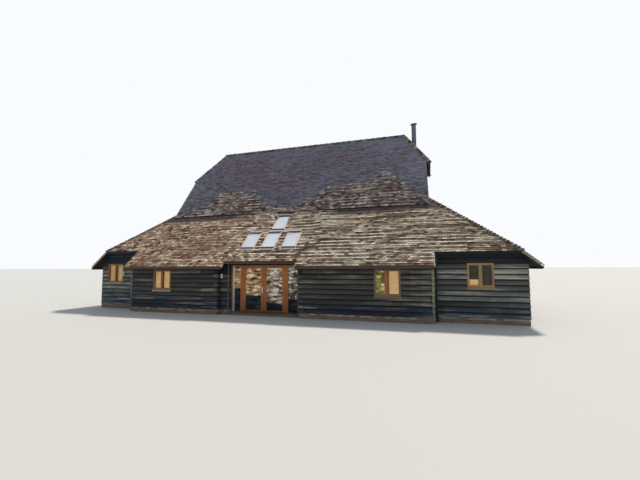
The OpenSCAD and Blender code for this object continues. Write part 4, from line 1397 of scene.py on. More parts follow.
@dataclass
class BoardedWall:
    """Feather-edged boards on one wall, lapped from the plinth up."""

    name: str
    start: Vector
    along: Vector
    length: float
    top: float
    openings: list[Opening]
    cuts: list[tuple[Vector, Vector]]
    seed: int
    foot: float = 0.215
    cover: float = 0.195
    tail: float = 0.034
    head: float = 0.012
    sag: float = 0.006
    overlap: float = 0.012
    joint: float = 0.003
    lengths: Span = (3.4, 6.0)
    piece: float = 0.3
    slip: float = 0.003
    bow: float = 0.004
    eave_shade_from: float = math.inf
    finish: StainedBoard = BLACK_BOARDS
    bare_end: float = 0.0

    def fix(self, finishes: Finishes) -> None:
        """Nail on the boards, as one piece for the wall."""
        draw, pile = random.Random(self.seed), Pile()
        out = self.along.cross(Vector((0, 0, 1)))
        rows = int((self.top - self.foot) / self.cover) + 1
        for row in range(rows):
            low = self.foot + row * self.cover
            high = min(low + self.cover + self.overlap, self.top)
            joints = [0.0]
            while joints[-1] < self.length:
                joints.append(joints[-1] + draw.uniform(*self.lengths))
            for begin, end in zip(joints, joints[1:]):
                shade = draw.random()
                slip = draw.uniform(-self.slip, self.slip)
                for part in self.pieces(begin, min(end, self.length) - self.joint, low, high):
                    self.board(pile, out, part, low, slip, shade)
        pile.build(self.name, finishes.get(self.finish), "black_boards", cuts=self.cuts)

    def pieces(self, begin: float, end: float, low: float, high: float) -> list[Four]:
        """Cut a board round the openings.

        Args:
            begin: The board's start along the wall.
            end: Its end along the wall.
            low: Its lower edge.
            high: Its upper edge.

        Returns:
            The pieces left, as start, end, lower edge and upper edge.
        """
        levels = {low, high}
        for hole in self.openings:
            levels |= {z for z in (hole.foot, hole.head) if low < z < high}
        ordered = sorted(levels)
        found = []
        for z0, z1 in zip(ordered, ordered[1:]):
            stretches = [(begin, end)]
            for hole in self.openings:
                if hole.foot < (z0 + z1) / 2 < hole.head:
                    stretches = [
                        part
                        for a, b in stretches
                        for part in ((a, min(b, hole.left)), (max(a, hole.right), b))
                        if part[1] - part[0] > 0.004
                    ]
            found += [(a, b, z0, z1) for a, b in stretches]
        return found

    def board(self, pile: Pile, out: Vector, part: Four, low: float, slip: float, shade: float) -> None:
        """Add one piece of board in short lengths that follow its warp.

        Args:
            pile: Where it goes.
            out: Outward direction of the wall.
            part: Its start and end along the wall, and its lower and upper edge.
            low: Lower edge of the whole board.
            slip: How far the board has slipped.
            shade: Its shade.
        """
        a, b, z0, z1 = part
        steps = max(1, int((b - a) / self.piece))

        def corner(place: float, height: float, proud: float) -> Vector:
            """Give a point of the board, warped a little."""
            warp = wander(place, low, (0.8, 3.1), self.seed)
            edge = height == z0
            lift = (warp * self.sag + slip) if edge and height == low else 0.0
            bow = warp * self.bow if proud > 0 else 0.0
            return self.start + self.along * place + out * (proud + bow) + Vector((0, 0, height + lift))

        def stand(height: float) -> float:
            """Give how far the board's face stands out at a height."""
            share = min(1.0, (height - low) / self.cover)
            return self.tail + (self.head - self.tail) * share

        for step in range(steps):
            u0, u1 = a + (b - a) * step / steps, a + (b - a) * (step + 1) / steps
            ring = ((u0, z0), (u1, z0), (u1, z1), (u0, z1))
            back = [corner(u, z, 0) for u, z in ring]
            face = [corner(u, z, stand(z)) for u, z in ring]
            middle = (u0 + u1) / 2
            faded = 0.5 * wander(middle, low, (0.6, 5.7), self.seed * 3.3)
            bare = self.bare_end * smooth(middle, self.length - 1.3, self.length - 0.1)
            pile.block(back + face, min(1.0, max(0.0, 0.15 + 0.7 * shade + faded + bare)))
            # Mark the boards high under the eave for the painted shade there.
            pile.grime_and_shade_marks.extend([0.9 if (z0 + z1) / 2 > self.eave_shade_from else 0.0] * 6)


@dataclass
class Walls:
    """The boarded walls, the plinth and the plaster inside."""

    finishes: Finishes
    # Heights above which the boards take the painted eave shade, on the wings and in the middle.
    eave_shade_heights: Span = (2.12, 1.86)
    past_eave: float = 0.05
    corner_gap: float = 0.1
    corner_width: float = 0.18
    trim: float = 0.001
    bare_right: float = 0.45
    brick: float = 0.225
    brick_joint: float = 0.01
    brick_rows: int = 3
    brick_proud: Span = (0.003, 0.007)
    least_brick: float = 0.02
    top_brick: float = 0.4

    def dress(self) -> None:
        """Board every wall and brick the plinth."""
        self.measure()
        self.board_long_walls()
        self.board_end_walls()
        self.board_gables()
        self.board_recess()
        self.lay_bricks()
        self.finish_carcass()

    def measure(self) -> None:
        """Read the wall faces and the corners from the CAD nodes."""
        main_low, main_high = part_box("corner_boards")
        self.front_left, self.front_right = main_low.x, main_high.x
        self.front = -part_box("front_wall_left")[0].y
        self.end_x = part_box("end_walls")[1].x
        wing = frame["nodes"]["wing_front_walls"].data
        self.left_wing = -min(v.co.y for v in wing.vertices if v.co.x < 0)
        self.right_wing = -min(v.co.y for v in wing.vertices if v.co.x > 0)
        self.recess_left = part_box("front_wall_left")[1].x
        self.recess_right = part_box("front_wall_right")[0].x
        self.corner_left = self.recess_left + self.corner_width
        self.corner_right = self.recess_right - self.corner_width
        self.screen = -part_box("door_frame_rails")[0].y
        self.windows = self.find_windows()

    def find_windows(self) -> list[tuple[Vector, Vector]]:
        """Give the low and high corners of each window frame with its sill.

        Returns:
            A pair of corners for each window.
        """
        found = []
        for node in ("window_frames", "window_sills"):
            for low, high in loose_boxes(node):
                for pair in found:
                    near = abs((pair[0].x + pair[1].x) / 2 - (low.x + high.x) / 2) < 0.1
                    if near and pair[0].y * low.y > 0:
                        pair[0].z = min(pair[0].z, low.z)
                        break
                else:
                    found.append([low, high])
        return [tuple(pair) for pair in found]

    def holes(self, start: Vector, along: Vector, length: float) -> list[Opening]:
        """Give the windows that lie in a wall.

        Args:
            start: Foot of the wall where its boards start.
            along: Direction along the wall.
            length: Length of the wall.

        Returns:
            The openings in the wall's own places.
        """
        found = []
        for low, high in self.windows:
            middle = (low + high) / 2
            offset = middle - start
            away = abs((offset - along * offset.dot(along)).xy.length)
            if away < 0.3 and 0 < offset.dot(along) < length:
                half = abs((high - low).dot(along)) / 2
                place = offset.dot(along)
                found.append(Opening(place - half, place + half, low.z, high.z))
        return found

    def under(self, node: str) -> tuple[Vector, Vector]:
        """Give the plane just under a roof slab, which cuts the boards below it."""
        point, normal = slab_plane(node, Side.LOWER)
        return point + normal * self.trim, -normal

    def wall(
        self,
        name: str,
        start: Sequence[float],
        end: Sequence[float],
        top: float,
        cuts: Sequence[str],
        seed: int,
    ) -> None:
        """Board one wall.

        Args:
            name: Name of the piece.
            start: X and Y where the boards start, with the outside on the right hand.
            end: X and Y where they end.
            top: Height that the boards reach before they are cut.
            cuts: Roof slabs whose lower faces cut the boards.
            seed: Seed of its draws.
        """
        first, last = Vector((*start, 0)), Vector((*end, 0))
        along = (last - first).normalized()
        length = (last - first).length
        holes, planes = self.holes(first, along, length), [self.under(cut) for cut in cuts]
        wing = "wing" in name or "end" in name
        BoardedWall(
            name, first, along, length, top, holes, planes, seed,
            eave_shade_from=self.eave_shade_heights[0 if wing else 1],
            finish=WING_BOARDS if wing else BLACK_BOARDS,
            bare_end=self.bare_right if name == "front_boards_right" else 0.0,
        ).fix(self.finishes)

    def board_long_walls(self) -> None:
        """Board the fronts and backs of the middle and the wings, and the short returns."""
        left, right, front, end = self.front_left, self.front_right, self.front, self.end_x
        wing_l, wing_r, gap = self.left_wing, self.right_wing, self.corner_gap
        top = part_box("front_wall_left")[1].z + self.past_eave
        wing_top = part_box("wing_front_walls")[1].z + self.past_eave
        near, far = ["aisle_roof_front"], ["aisle_roof_back"]
        end_l, end_r = ["end_roof_left"], ["end_roof_right"]
        walls = (
            ("front_boards_left", (left + gap, -front), (self.recess_left, -front), top, near),
            ("front_boards_right", (self.recess_right, -front), (right - gap, -front), top, near),
            ("wing_boards_left", (-end, -wing_l), (left, -wing_l), wing_top, near + end_l),
            ("wing_boards_right", (right, -wing_r), (end, -wing_r), wing_top, near + end_r),
            ("return_boards_left", (left, -wing_l), (left, -front), wing_top, near),
            ("return_boards_right", (right, -front), (right, -wing_r), wing_top, near),
            ("back_boards", (right - gap, front), (left + gap, front), top, far),
            ("back_wing_boards_left", (left, wing_l), (-end, wing_l), wing_top, far + end_l),
            ("back_wing_boards_right", (end, wing_r), (right, wing_r), wing_top, far + end_r),
            ("back_return_boards_left", (left, front), (left, wing_l), wing_top, far),
            ("back_return_boards_right", (right, wing_r), (right, front), wing_top, far),
        )
        for seed, wall in enumerate(walls, 41):
            self.wall(*wall, seed)

    def board_end_walls(self) -> None:
        """Board the low walls at the two ends."""
        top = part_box("end_walls")[1].z + self.past_eave
        x, wing_l, wing_r = self.end_x, self.left_wing, self.right_wing
        self.wall("end_boards_left", (-x, wing_l), (-x, -wing_l), top, ["end_roof_left"], 52)
        self.wall("end_boards_right", (x, -wing_r), (x, wing_r), top, ["end_roof_right"], 53)

    def board_gables(self) -> None:
        """Board the upper gable walls, cut to the slopes over them and to the roofs under them."""
        low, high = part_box("gable_walls")
        rows = math.floor((low.z - BoardedWall.foot) / BoardedWall.cover)
        foot = BoardedWall.foot + rows * BoardedWall.cover
        for name, side, seed in (("left", -1, 54), ("right", 1, 55)):
            start = Vector((side * high.x, low.y * side, 0))
            along = Vector((0, side, 0))
            over = ("nave_roof_front", "nave_roof_back", "half_hip_" + name)
            cutters = [self.under(node) for node in over]
            point, normal = slab_plane("end_roof_" + name, Side.UPPER)
            cutters.append((point, -normal))
            BoardedWall(
                "gable_boards_" + name, start, along, high.y - low.y, high.z, [], cutters, seed, foot=foot
            ).fix(self.finishes)

    def board_recess(self) -> None:
        """Board the corner posts and the strips beside the door screen."""
        low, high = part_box("door_frame_rails")
        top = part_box("door_cheeks")[1].z + self.past_eave
        near, front, screen = ["aisle_roof_front"], self.front, self.screen
        left, right = self.corner_left, self.corner_right
        walls = (
            ("corner_post_boards_left", (self.recess_left, -front), (left, -front)),
            ("corner_post_boards_right", (right, -front), (self.recess_right, -front)),
            ("recess_side_left", (left, -front), (left, -screen)),
            ("recess_side_right", (right, -screen), (right, -front)),
            ("recess_strip_left", (left, -screen), (low.x, -screen)),
            ("recess_strip_right", (high.x, -screen), (right, -screen)),
        )
        for seed, (name, start, end) in enumerate(walls, 56):
            self.wall(name, start, end, top, near, seed)

    def lay_bricks(self) -> None:
        """Lay bricks on the outer faces of the plinth, round the building from door to door."""
        left, right, front, x = self.front_left, self.front_right, self.front, self.end_x
        wing_l, wing_r, screen = self.left_wing, self.right_wing, self.screen
        low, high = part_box("door_frame_rails")
        to_door = (
            (-x, -wing_l), (left, -wing_l), (left, -front),
            (self.corner_left, -front), (self.corner_left, -screen), (low.x, -screen),
        )
        from_door = (
            (high.x, -screen), (self.corner_right, -screen), (self.corner_right, -front),
            (right, -front), (right, -wing_r), (x, -wing_r), (x, wing_r), (right, wing_r),
            (right, front), (left, front), (left, wing_l), (-x, wing_l), (-x, -wing_l),
        )
        draw, pile = random.Random(62), Pile()
        for corners in (to_door, from_door):
            for start, end in zip(corners, corners[1:]):
                self.lay_run(pile, Vector((*start, 0)), Vector((*end, 0)), draw)
        pile.build("plinth_bricks", self.finishes.get(BRICK), "brick")

    def lay_run(self, pile: Pile, start: Vector, end: Vector, draw: random.Random) -> None:
        """Lay the bricks between two corners.

        Args:
            pile: Where they go.
            start: The first corner on the ground.
            end: The other corner, with the outside on the right hand.
            draw: Draws of how far each brick stands out, and of its shade.
        """
        length, joint = self.brick, self.brick_joint
        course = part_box("front_plinth")[1].z / self.brick_rows
        along = (end - start).normalized()
        out = along.cross(Vector((0, 0, 1)))
        total = (end - start).length
        for row in range(self.brick_rows):
            place = -length / 2 * (row % 2)
            while place < total:
                a, b = max(place, 0) + joint / 2, min(place + length, total) - joint / 2
                place += length
                if b - a < self.least_brick:
                    continue
                proud = draw.uniform(*self.brick_proud)
                z0, z1 = row * course + joint / 2, (row + 1) * course - joint / 2
                ring = [(a, 0), (b, 0), (b, proud), (a, proud)]
                corners = [
                    start + along * u + out * v + Vector((0, 0, z)) for z in (z0, z1) for u, v in ring
                ]
                shade = 0.6 * draw.random() + (self.top_brick if row == self.brick_rows - 1 else 0.0)
                pile.block(corners, min(1.0, shade))

    def finish_carcass(self) -> None:
        """Give the CAD walls, plinth, floor and frame their finishes."""
        get = self.finishes.get
        outside, inside = get(BLACK_BOARDS), get(PLASTER)
        for node in (
            "front_wall_left", "front_wall_right", "wing_front_walls", "return_walls",
            "end_walls", "back_walls", "gable_walls", "door_cheeks", "door_lintel",
        ):
            coat_inside(frame["nodes"][node], outside, inside)
        for node in ("front_plinth", "back_plinth", "end_plinths"):
            coat(node, get(MORTAR))
        coat("floor_slab", get(CONCRETE))
        coat("arcade_posts", get(POST_OAK))
        for node in ("arcade_plates", "tie_beams"):
            coat(node, get(FRAME_OAK))
        corners = ((0.0, DARK_CORNER), (FAR_RIGHT, GREY_BOARDS))
        coat_along(frame["nodes"]["corner_boards"], corners, self.finishes)
        coat("eaves_boards", get(EAVE_BOARDS))


def coat(node: str, material: Material) -> None:
    """Give a CAD node one finish."""
    mesh = frame["nodes"][node].data
    mesh.materials.clear()
    mesh.materials.append(material)
    log.info("%s: %s", node, material.name)


def coat_along(piece: Piece, stretches: Sequence[tuple[float, object]], finishes: Finishes) -> None:
    """Give a piece another finish for each stretch along X.

    Args:
        piece: The piece.
        stretches: The right end of each stretch and its finish, from left to right.
        finishes: The building's finishes.
    """
    mesh = piece.data
    mesh.materials.clear()
    for _, finish in stretches:
        mesh.materials.append(finishes.get(finish))
    for face in mesh.polygons:
        face.material_index = next(i for i, (end, _) in enumerate(stretches) if face.center.x <= end)
    log.info("%s: %s", piece.name, ", ".join(finish.name for _, finish in stretches))


def coat_inside(piece: Piece, outside: Material, inside: Material) -> None:
    """Give the faces that look into the building another finish.

    Args:
        piece: The CAD wall.
        outside: Finish of its outer faces.
        inside: Finish of the faces that look inwards.
    """
    mesh = piece.data
    mesh.materials.clear()
    mesh.materials.append(outside)
    mesh.materials.append(inside)
    for face in mesh.polygons:
        flat = Vector((face.center.x * 0.4, face.center.y, 0))
        looks_in = face.normal.z < 0.5 and face.normal.dot(flat.normalized()) < -0.3
        face.material_index = 1 if looks_in else 0
    log.info("%s: %s and %s", piece.name, outside.name, inside.name)


def loose_solids(node: str) -> list[list[Vector]]:
    """Give the corners of each separate solid in a node."""
    work = bmesh.new()
    work.from_mesh(frame["nodes"][node].data)
    bmesh.ops.remove_doubles(work, verts=work.verts, dist=0.00001)
    left = set(work.verts)
    found = []
    while left:
        group, edge = [], [left.pop()]
        while edge:
            vertex = edge.pop()
            group.append(vertex.co.copy())
            for link in vertex.link_edges:
                other = link.other_vert(vertex)
                if other in left:
                    left.discard(other)
                    edge.append(other)
        found.append(group)
    work.free()
    return sorted(
        found, key=lambda group: (round(min(co.y for co in group), 3), min(co.x for co in group))
    )


def loose_boxes(node: str) -> list[tuple[Vector, Vector]]:
    """Give the low and high corners of each separate solid in a node."""
    return [
        (Vector(map(min, zip(*group))), Vector(map(max, zip(*group)))) for group in loose_solids(node)
    ]


# Openings


class Behind(Enum):
    """What hangs behind a window pane: a slatted blind by its shade, a low cloth, or nothing."""

    OLIVE = 0.0
    STRAW = 0.45
    CREAM = 0.8
    SUNLIT = 1.0
    CLOTH = -1.0
    BARE = -2.0


@dataclass
class Windows:
    """The casement windows with their blinds, and the rooflights with their flashings."""

    finishes: Finishes
    slat: float = 0.026
    slat_depth: float = 0.02
    behind: tuple[tuple[float, Behind], ...] = (
        (-9.04, Behind.STRAW), (-8.57, Behind.STRAW), (-5.44, Behind.CREAM), (-4.99, Behind.CREAM),
        (-0.44, Behind.STRAW), (0.02, Behind.CREAM), (4.71, Behind.OLIVE), (5.17, Behind.SUNLIT),
        (7.97, Behind.CLOTH), (8.39, Behind.BARE),
    )
    cloth_share: float = 0.28
    bays: tuple[float, ...] = (2.0, 6.7, FAR_RIGHT)
    frame_finishes: tuple[Timber, ...] = (WINDOW_OAK, OLIVE_OAK, PALE_OAK)
    sill_finishes: tuple[Masonry, ...] = (PALE_SILL, DARK_SILL, TAN_SILL)
    stile_finishes: tuple[Timber, ...] = (WINDOW_OAK, STILE_OAK, PALE_OAK)
    stile: Span = (0.05, 0.010)
    stile_inset: float = 0.03
    stile_shifts: tuple[float, ...] = (0.0, -0.05, 0.0)
    pane_finishes: tuple[tuple[float, object], ...] = (
        (4.5, WINDOW_PANE), (4.94, OLIVE_PANE), (FAR_RIGHT, WINDOW_PANE),
    )
    blind_gap: float = 0.04
    blind_past: float = 0.02
    blind_tilt: float = 1.15
    blind_pitch: float = 0.78
    slat_thickness: float = 0.0015
    slat_shades: float = 0.12
    strip_heights: Span = (0.03, 0.066)
    apron_heights: Span = (0.046, 0.058)
    foot_heights: Span = (0.03, 0.092)
    head_heights: Span = (0.03, 0.098)
    flash_side: float = 0.035
    flash_head: float = 0.085
    apron: Span = (0.14, 0.075)
    bar_past: float = 0.012

    def dress(self) -> None:
        """Finish the frames and hang the blinds."""
        get, nodes = self.finishes.get, frame["nodes"]
        coat_along(nodes["window_sills"], tuple(zip(self.bays, self.sill_finishes)), self.finishes)
        coat_along(nodes["window_glass"], self.pane_finishes, self.finishes)
        coat("rooflight_frames", get(ZINC))
        coat("rooflight_glass", get(SKY_PANE))
        coat_along(nodes["window_frames"], tuple(zip(self.bays, self.frame_finishes)), self.finishes)
        self.add_stiles()
        self.hang_blinds()
        self.flash_rooflights()

    def add_stiles(self) -> None:
        """Fix the cover strip where the two casements of each window meet."""
        pile = Pile()
        half, proud = self.stile
        for low, high in loose_boxes("window_frames"):
            middle, outward = (low.x + high.x) / 2, -1 if low.y < 0 else 1
            middle += next(shift for end, shift in zip(self.bays, self.stile_shifts) if middle <= end)
            face = low.y if outward < 0 else high.y
            y0, y1 = sorted((face, face + outward * proud))
            foot, head = low.z + self.stile_inset, high.z - self.stile_inset
            pile.box((middle - half, y0, foot), (middle + half, y1, head))
        piece = pile.build("meeting_stiles", self.finishes.get(STILE_OAK), "oak_joinery")
        coat_along(piece, tuple(zip(self.bays, self.stile_finishes)), self.finishes)
        round_edges(piece, 0.003)

    def hang_blinds(self) -> None:
        """Hang slatted blinds or a low cloth behind the window panes."""
        pile, draw = Pile(), random.Random(71)
        for low, high in loose_boxes("window_glass"):
            middle = (low.x + high.x) / 2
            kind = min(self.behind, key=lambda entry: abs(entry[0] - middle))[1]
            inward = 1 if low.y < 0 else -1
            y, past = (high.y if inward > 0 else low.y) + inward * self.blind_gap, self.blind_past
            if kind is Behind.CLOTH:
                top = low.z + (high.z - low.z) * self.cloth_share
                pile.box((low.x - past, y - 0.002, low.z - past), (high.x + past, y + 0.002, top), 0.9)
            elif kind is not Behind.BARE:
                self.blind(pile, low, high, y, inward, kind.value, draw)
        pile.build("window_blinds", self.finishes.get(BLIND), "window_panes")

    def blind(
        self, pile: Pile, low: Vector, high: Vector, y: float, inward: int, shade: float, draw: random.Random
    ) -> None:
        """Add the slats of one blind.

        Args:
            pile: Where it goes.
            low: Low corner of the pane.
            high: High corner of the pane.
            y: Distance of the slats' middle from the ridge line.
            inward: Direction into the building along Y.
            shade: Shade of the blind.
            draw: Draws of each slat's shade.
        """
        reach = self.slat_depth / 2
        rise, depth = reach * math.sin(self.blind_tilt), reach * math.cos(self.blind_tilt) * inward
        x0, x1 = low.x - self.blind_past, high.x + self.blind_past
        z = low.z - 0.01
        while z < high.z + 0.01:
            ends = ((x0, -1), (x1, -1), (x1, 1), (x0, 1))
            lower = [Vector((x, y + side * depth, z + side * rise)) for x, side in ends]
            upper = [co + Vector((0, -self.slat_thickness * inward, 0)) for co in lower]
            own = shade + draw.uniform(-self.slat_shades, self.slat_shades)
            pile.block(lower + upper, min(1.0, max(0.0, own)))
            z += self.slat * self.blind_pitch

    def flash_rooflights(self) -> None:
        """Lay the flashings round the rooflights, and their head and foot bars."""
        slope = Slope("aisle_roof_front")
        flashing, bars, edges = Pile(), Pile(), Pile()
        for corners in loose_solids("rooflight_frames"):
            across = [(co - slope.origin).dot(slope.along) for co in corners]
            rises = [(co - slope.origin).dot(slope.up) for co in corners]
            left, right, foot, head = min(across), max(across), min(rises), max(rises)
            side, bar = self.flash_side, (left - self.bar_past, right + self.bar_past)
            for strip in ((left - side, left), (right, right + side)):
                self.sheet(edges, slope, strip, (foot - 0.01, head + 0.02), self.strip_heights)
            apron = self.apron[0] if foot < slope.length * 0.6 else self.apron[1]
            wide = (left - side - 0.03, right + side + 0.03)
            self.sheet(flashing, slope, wide, (foot - apron, foot), self.apron_heights)
            self.sheet(edges, slope, bar, (head + 0.02, head + self.flash_head), self.head_heights)
            self.sheet(bars, slope, bar, (foot - 0.02, foot + 0.03), self.foot_heights)
            self.sheet(bars, slope, bar, (head - 0.05, head + 0.02), self.head_heights)
        for pile, name, finish in (
            (edges, "rooflight_side_strips", ZINC),
            (flashing, "rooflight_flashings", LEAD),
            (bars, "rooflight_bars", DARK_BAR),
        ):
            round_edges(pile.build(name, self.finishes.get(finish), "rooflight_metal"), 0.004)

    @staticmethod
    def sheet(pile: Pile, slope: Slope, across: Span, rise: Span, heights: Span) -> None:
        """Add a flat bar or sheet on a slope between two places and two heights off the slab."""
        ring = [(across[0], rise[0]), (across[1], rise[0]), (across[1], rise[1]), (across[0], rise[1])]
        pile.block([slope.at(u, v, h) for h in heights for u, v in ring])


def round_edges(piece: Piece, width: float) -> None:
    """Round the sharp edges of a piece."""
    bevel = piece.modifiers.new("round_edges", "BEVEL")
    bevel.width = width
    bevel.segments = 2
    bevel.limit_method = "ANGLE"


@dataclass
class Doors:
    """The glazed screen with its pair of doors."""

    finishes: Finishes
    bead: float = 0.014
    bead_depth: float = 0.009
    lining: float = 0.1
    outer_post: float = 0.1
    rounding: float = 0.003
    bar_inset: float = 0.012
    bar_height: float = 0.022
    bar_profile: tuple[Span, ...] = ((0.0, 0.0), (-0.034, 0.006), (-0.036, 0.014), (0.0, 0.045))

    def dress(self) -> None:
        """Finish the screen and the doors, and add their beads and weather bars."""
        nodes, posts, rails = frame["nodes"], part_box("door_frame_posts"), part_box("door_frame_rails")
        # The outer posts take the painted shade, the inner ones the plain oak.
        coats = (
            (posts[0].x + self.outer_post, PAINTED_SHADE_POST),
            (posts[1].x - self.outer_post, JOINERY),
            (FAR_RIGHT, PAINTED_SHADE_POST),
        )
        coat_along(nodes["door_frame_posts"], coats, self.finishes)
        middle = (rails[0].x + rails[1].x) / 2
        lights = ((middle, LEFT_LIGHT_PANE), (FAR_RIGHT, RIGHT_LIGHT_PANE))
        coat_along(nodes["side_lights"], lights, self.finishes)
        for node, finish in (
            ("door_frame_rails", JOINERY_FLAT),
            ("left_door_glass", LEFT_DOOR_PANE),
            ("right_door_glass", RIGHT_DOOR_PANE),
            ("left_door_leaf", JOINERY),
            ("right_door_leaf", JOINERY),
            ("door_hinges", BRASS),
            ("door_handle", SATIN),
        ):
            coat(node, self.finishes.get(finish))
        self.add_beads("left_door")
        self.add_beads("right_door")
        self.add_side_beads()
        self.add_lining()

    def add_lining(self) -> None:
        """Stand the pale lining in front of the left side light's edge."""
        low, high = loose_boxes("side_lights")[0]
        pile = Pile()
        x0, foot, head = low.x + self.bead, low.z + self.bead, high.z - self.bead
        pile.box((x0, low.y - self.bead_depth, foot), (x0 + self.lining, low.y - 0.001, head))
        self.join_up(pile, "side_light_lining", LINING)

    def add_beads(self, body: str) -> None:
        """Fix the glazing beads and the weather bar of one door.

        Args:
            body: The door's body.
        """
        glass_low, glass_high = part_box(body + "_glass")
        leaf_low, leaf_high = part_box(body + "_leaf")
        pile = Pile()
        self.ring(pile, glass_low, glass_high, glass_low.y - self.bead_depth, glass_low.y)
        self.ring(pile, glass_low, glass_high, glass_high.y, glass_high.y + self.bead_depth)
        self.join_up(pile, body + "_beads", JOINERY, body)
        bar = Pile()
        face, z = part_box("door_frame_rails")[0].y, leaf_low.z + self.bar_height
        ends = (leaf_low.x + self.bar_inset, leaf_high.x - self.bar_inset)
        bar.tube([[Vector((x, face + y, z + h)) for y, h in self.bar_profile] for x in ends])
        bar.build(body + "_weather_bar", self.finishes.get(JOINERY_FLAT), "oak_joinery", body)

    def add_side_beads(self) -> None:
        """Fix the glazing beads of the side lights."""
        pile = Pile()
        for low, high in loose_boxes("side_lights"):
            self.ring(pile, low, high, low.y - self.bead_depth, low.y)
            self.ring(pile, low, high, high.y, high.y + self.bead_depth)
        self.join_up(pile, "side_light_beads", JOINERY)

    def join_up(self, pile: Pile, name: str, finish: Timber, body: str = BUILDING) -> None:
        """Make a piece of joinery with rounded edges."""
        round_edges(pile.build(name, self.finishes.get(finish), "oak_joinery", body), self.rounding)

    def ring(self, pile: Pile, low: Vector, high: Vector, y0: float, y1: float) -> None:
        """Add four beads round a pane between two depths."""
        w = self.bead
        pile.box((low.x, y0, low.z), (high.x, y1, low.z + w))
        pile.box((low.x, y0, high.z - w), (high.x, y1, high.z))
        pile.box((low.x, y0, low.z + w), (low.x + w, y1, high.z - w))
        pile.box((high.x - w, y0, low.z + w), (high.x, y1, high.z - w))


@dataclass
class Fittings:
    """The flue, the lanterns and the downpipe."""

    finishes: Finishes
    lantern_body: float = 0.15

    def dress(self) -> None:
        """Finish the small metal pieces."""
        get = self.finishes.get
        coat("flue", get(FLUE_STEEL))
        coat("wall_lanterns", get(WHITE))
        self.glaze_lanterns()
        pipes = ((0.0, GREY_PIPE), (FAR_RIGHT, PIPE))
        coat_along(frame["nodes"]["downpipe"], pipes, self.finishes)

    def glaze_lanterns(self) -> None:
        """Set a grey pane in the front of each lantern."""
        pile = Pile()
        for low, high in loose_boxes("wall_lanterns"):
            width, height = high.x - low.x, high.z - low.z
            if height > self.lantern_body:
                side, end, proud = width * 0.28, height * 0.3, 0.003
                foot = (low.x + side, low.y - proud, low.z + end)
                pile.box(foot, (high.x - side, low.y + proud, high.z - end))
        pile.build("lantern_panes", self.finishes.get(LANTERN_PANE), "lantern_white")


# Studio


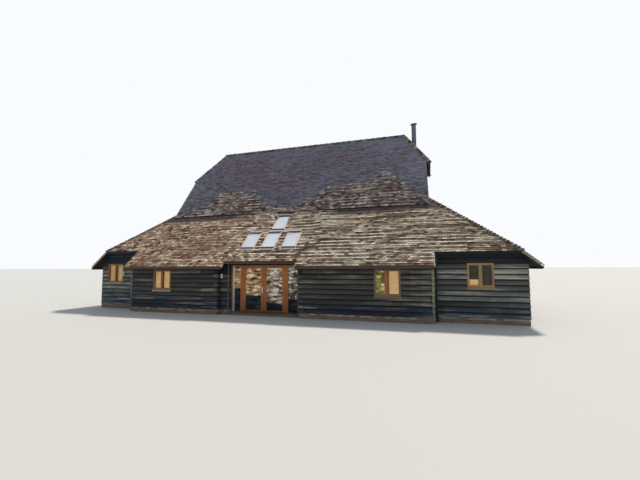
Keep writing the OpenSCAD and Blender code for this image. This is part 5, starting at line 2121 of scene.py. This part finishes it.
@dataclass
class Studio:
    """A pale floor, soft light and the camera."""

    floor_size: float = 3000.0
    floor_colour: Colour = (0.52, 0.52, 0.51)
    world_colour: Colour = (0.86, 0.93, 1.0)
    world_strength: float = 0.48
    backdrop_colour: Colour = (0.95, 0.97, 1.0)
    sun_colour: Colour = (1.0, 0.94, 0.84)
    sun_strength: float = 3.8
    sun_angle: float = 6.0
    sun_towards: tuple[float, float, float] = (-0.19, -0.557, -0.808)
    position: tuple[float, float, float] = (6.4785, -18.4685, 2.0124)
    turn: float = 0.3054
    tilt: float = 0.0781
    roll: float = -0.0034
    focal_pixels: float = 349.2145
    image_width: int = 640
    sensor: float = 36.0

    def build(self) -> None:
        """Set up the floor, the light and the camera."""
        self.lay_floor()
        self.light()
        self.set_camera()

    def lay_floor(self) -> None:
        """Lay the pale floor."""
        half = self.floor_size / 2
        mesh = bpy.data.meshes.new("studio_floor")
        corners = [(-half, -half, 0), (half, -half, 0), (half, half, 0), (-half, half, 0)]
        mesh.from_pydata(corners, [], [(0, 1, 2, 3)])
        floor = bpy.data.objects.new("studio_floor", mesh)
        bpy.context.scene.collection.objects.link(floor)
        bench = Bench("studio_floor")
        floor.data.materials.append(bench.finish(self.floor_colour, 0.9))

    def light(self) -> None:
        """Light the building softly from all round, with one broad sun."""
        world = bpy.data.worlds.new("studio")
        bpy.context.scene.world = world
        world.use_nodes = True
        tree = world.node_tree
        tree.nodes.clear()
        kinds = ("OutputWorld", "MixShader", "Background", "Background", "LightPath")
        output, mixer, seen, lit, path = (tree.nodes.new("ShaderNode" + kind) for kind in kinds)
        seen.inputs["Color"].default_value = (*self.backdrop_colour, 1)
        seen.inputs["Strength"].default_value = 1.0
        lit.inputs["Color"].default_value = (*self.world_colour, 1)
        lit.inputs["Strength"].default_value = self.world_strength
        socket = path.outputs["Is Camera Ray"]
        for kind in ("Is Glossy Ray", "Is Transmission Ray"):
            either = tree.nodes.new("ShaderNodeMath")
            either.operation = "MAXIMUM"
            tree.links.new(socket, either.inputs[0])
            tree.links.new(path.outputs[kind], either.inputs[1])
            socket = either.outputs[0]
        tree.links.new(socket, mixer.inputs["Fac"])
        tree.links.new(lit.outputs[0], mixer.inputs[1])
        tree.links.new(seen.outputs[0], mixer.inputs[2])
        tree.links.new(mixer.outputs[0], output.inputs["Surface"])
        sun = bpy.data.lights.new("sun", "SUN")
        sun.energy = self.sun_strength
        sun.angle = math.radians(self.sun_angle)
        sun.color = self.sun_colour
        lamp = bpy.data.objects.new("sun", sun)
        lamp.rotation_euler = Vector(self.sun_towards).to_track_quat("-Z", "Y").to_euler()
        bpy.context.scene.collection.objects.link(lamp)

    def set_camera(self) -> None:
        """Set the camera at the photograph's place."""
        camera = bpy.data.cameras.new("camera")
        camera.sensor_width = self.sensor
        camera.lens = self.focal_pixels * self.sensor / self.image_width
        camera.clip_end = 1000
        eye = bpy.data.objects.new("camera", camera)
        ahead = Vector(
            (
                -math.sin(self.turn) * math.cos(self.tilt),
                math.cos(self.turn) * math.cos(self.tilt),
                math.sin(self.tilt),
            )
        )
        level = Vector((math.cos(self.turn), math.sin(self.turn), 0))
        above = level.cross(ahead)
        right = level * math.cos(self.roll) + above * math.sin(self.roll)
        up = above * math.cos(self.roll) - level * math.sin(self.roll)
        axes = Matrix((right, up, -ahead)).transposed().to_4x4()
        eye.matrix_world = Matrix.Translation(self.position) @ axes
        bpy.context.scene.collection.objects.link(eye)
        bpy.context.scene.camera = eye


def main() -> None:
    """Dress the building and set the studio round it."""
    logging.basicConfig(level=logging.INFO, format="%(message)s", force=True)
    bpy.context.scene.view_settings.view_transform = "Standard"
    finishes = Finishes()
    Studio().build()
    Roof(finishes).dress()
    Walls(finishes).dress()
    Windows(finishes).dress()
    Doors(finishes).dress()
    Fittings(finishes).dress()


if __name__ == "__main__":
    main()
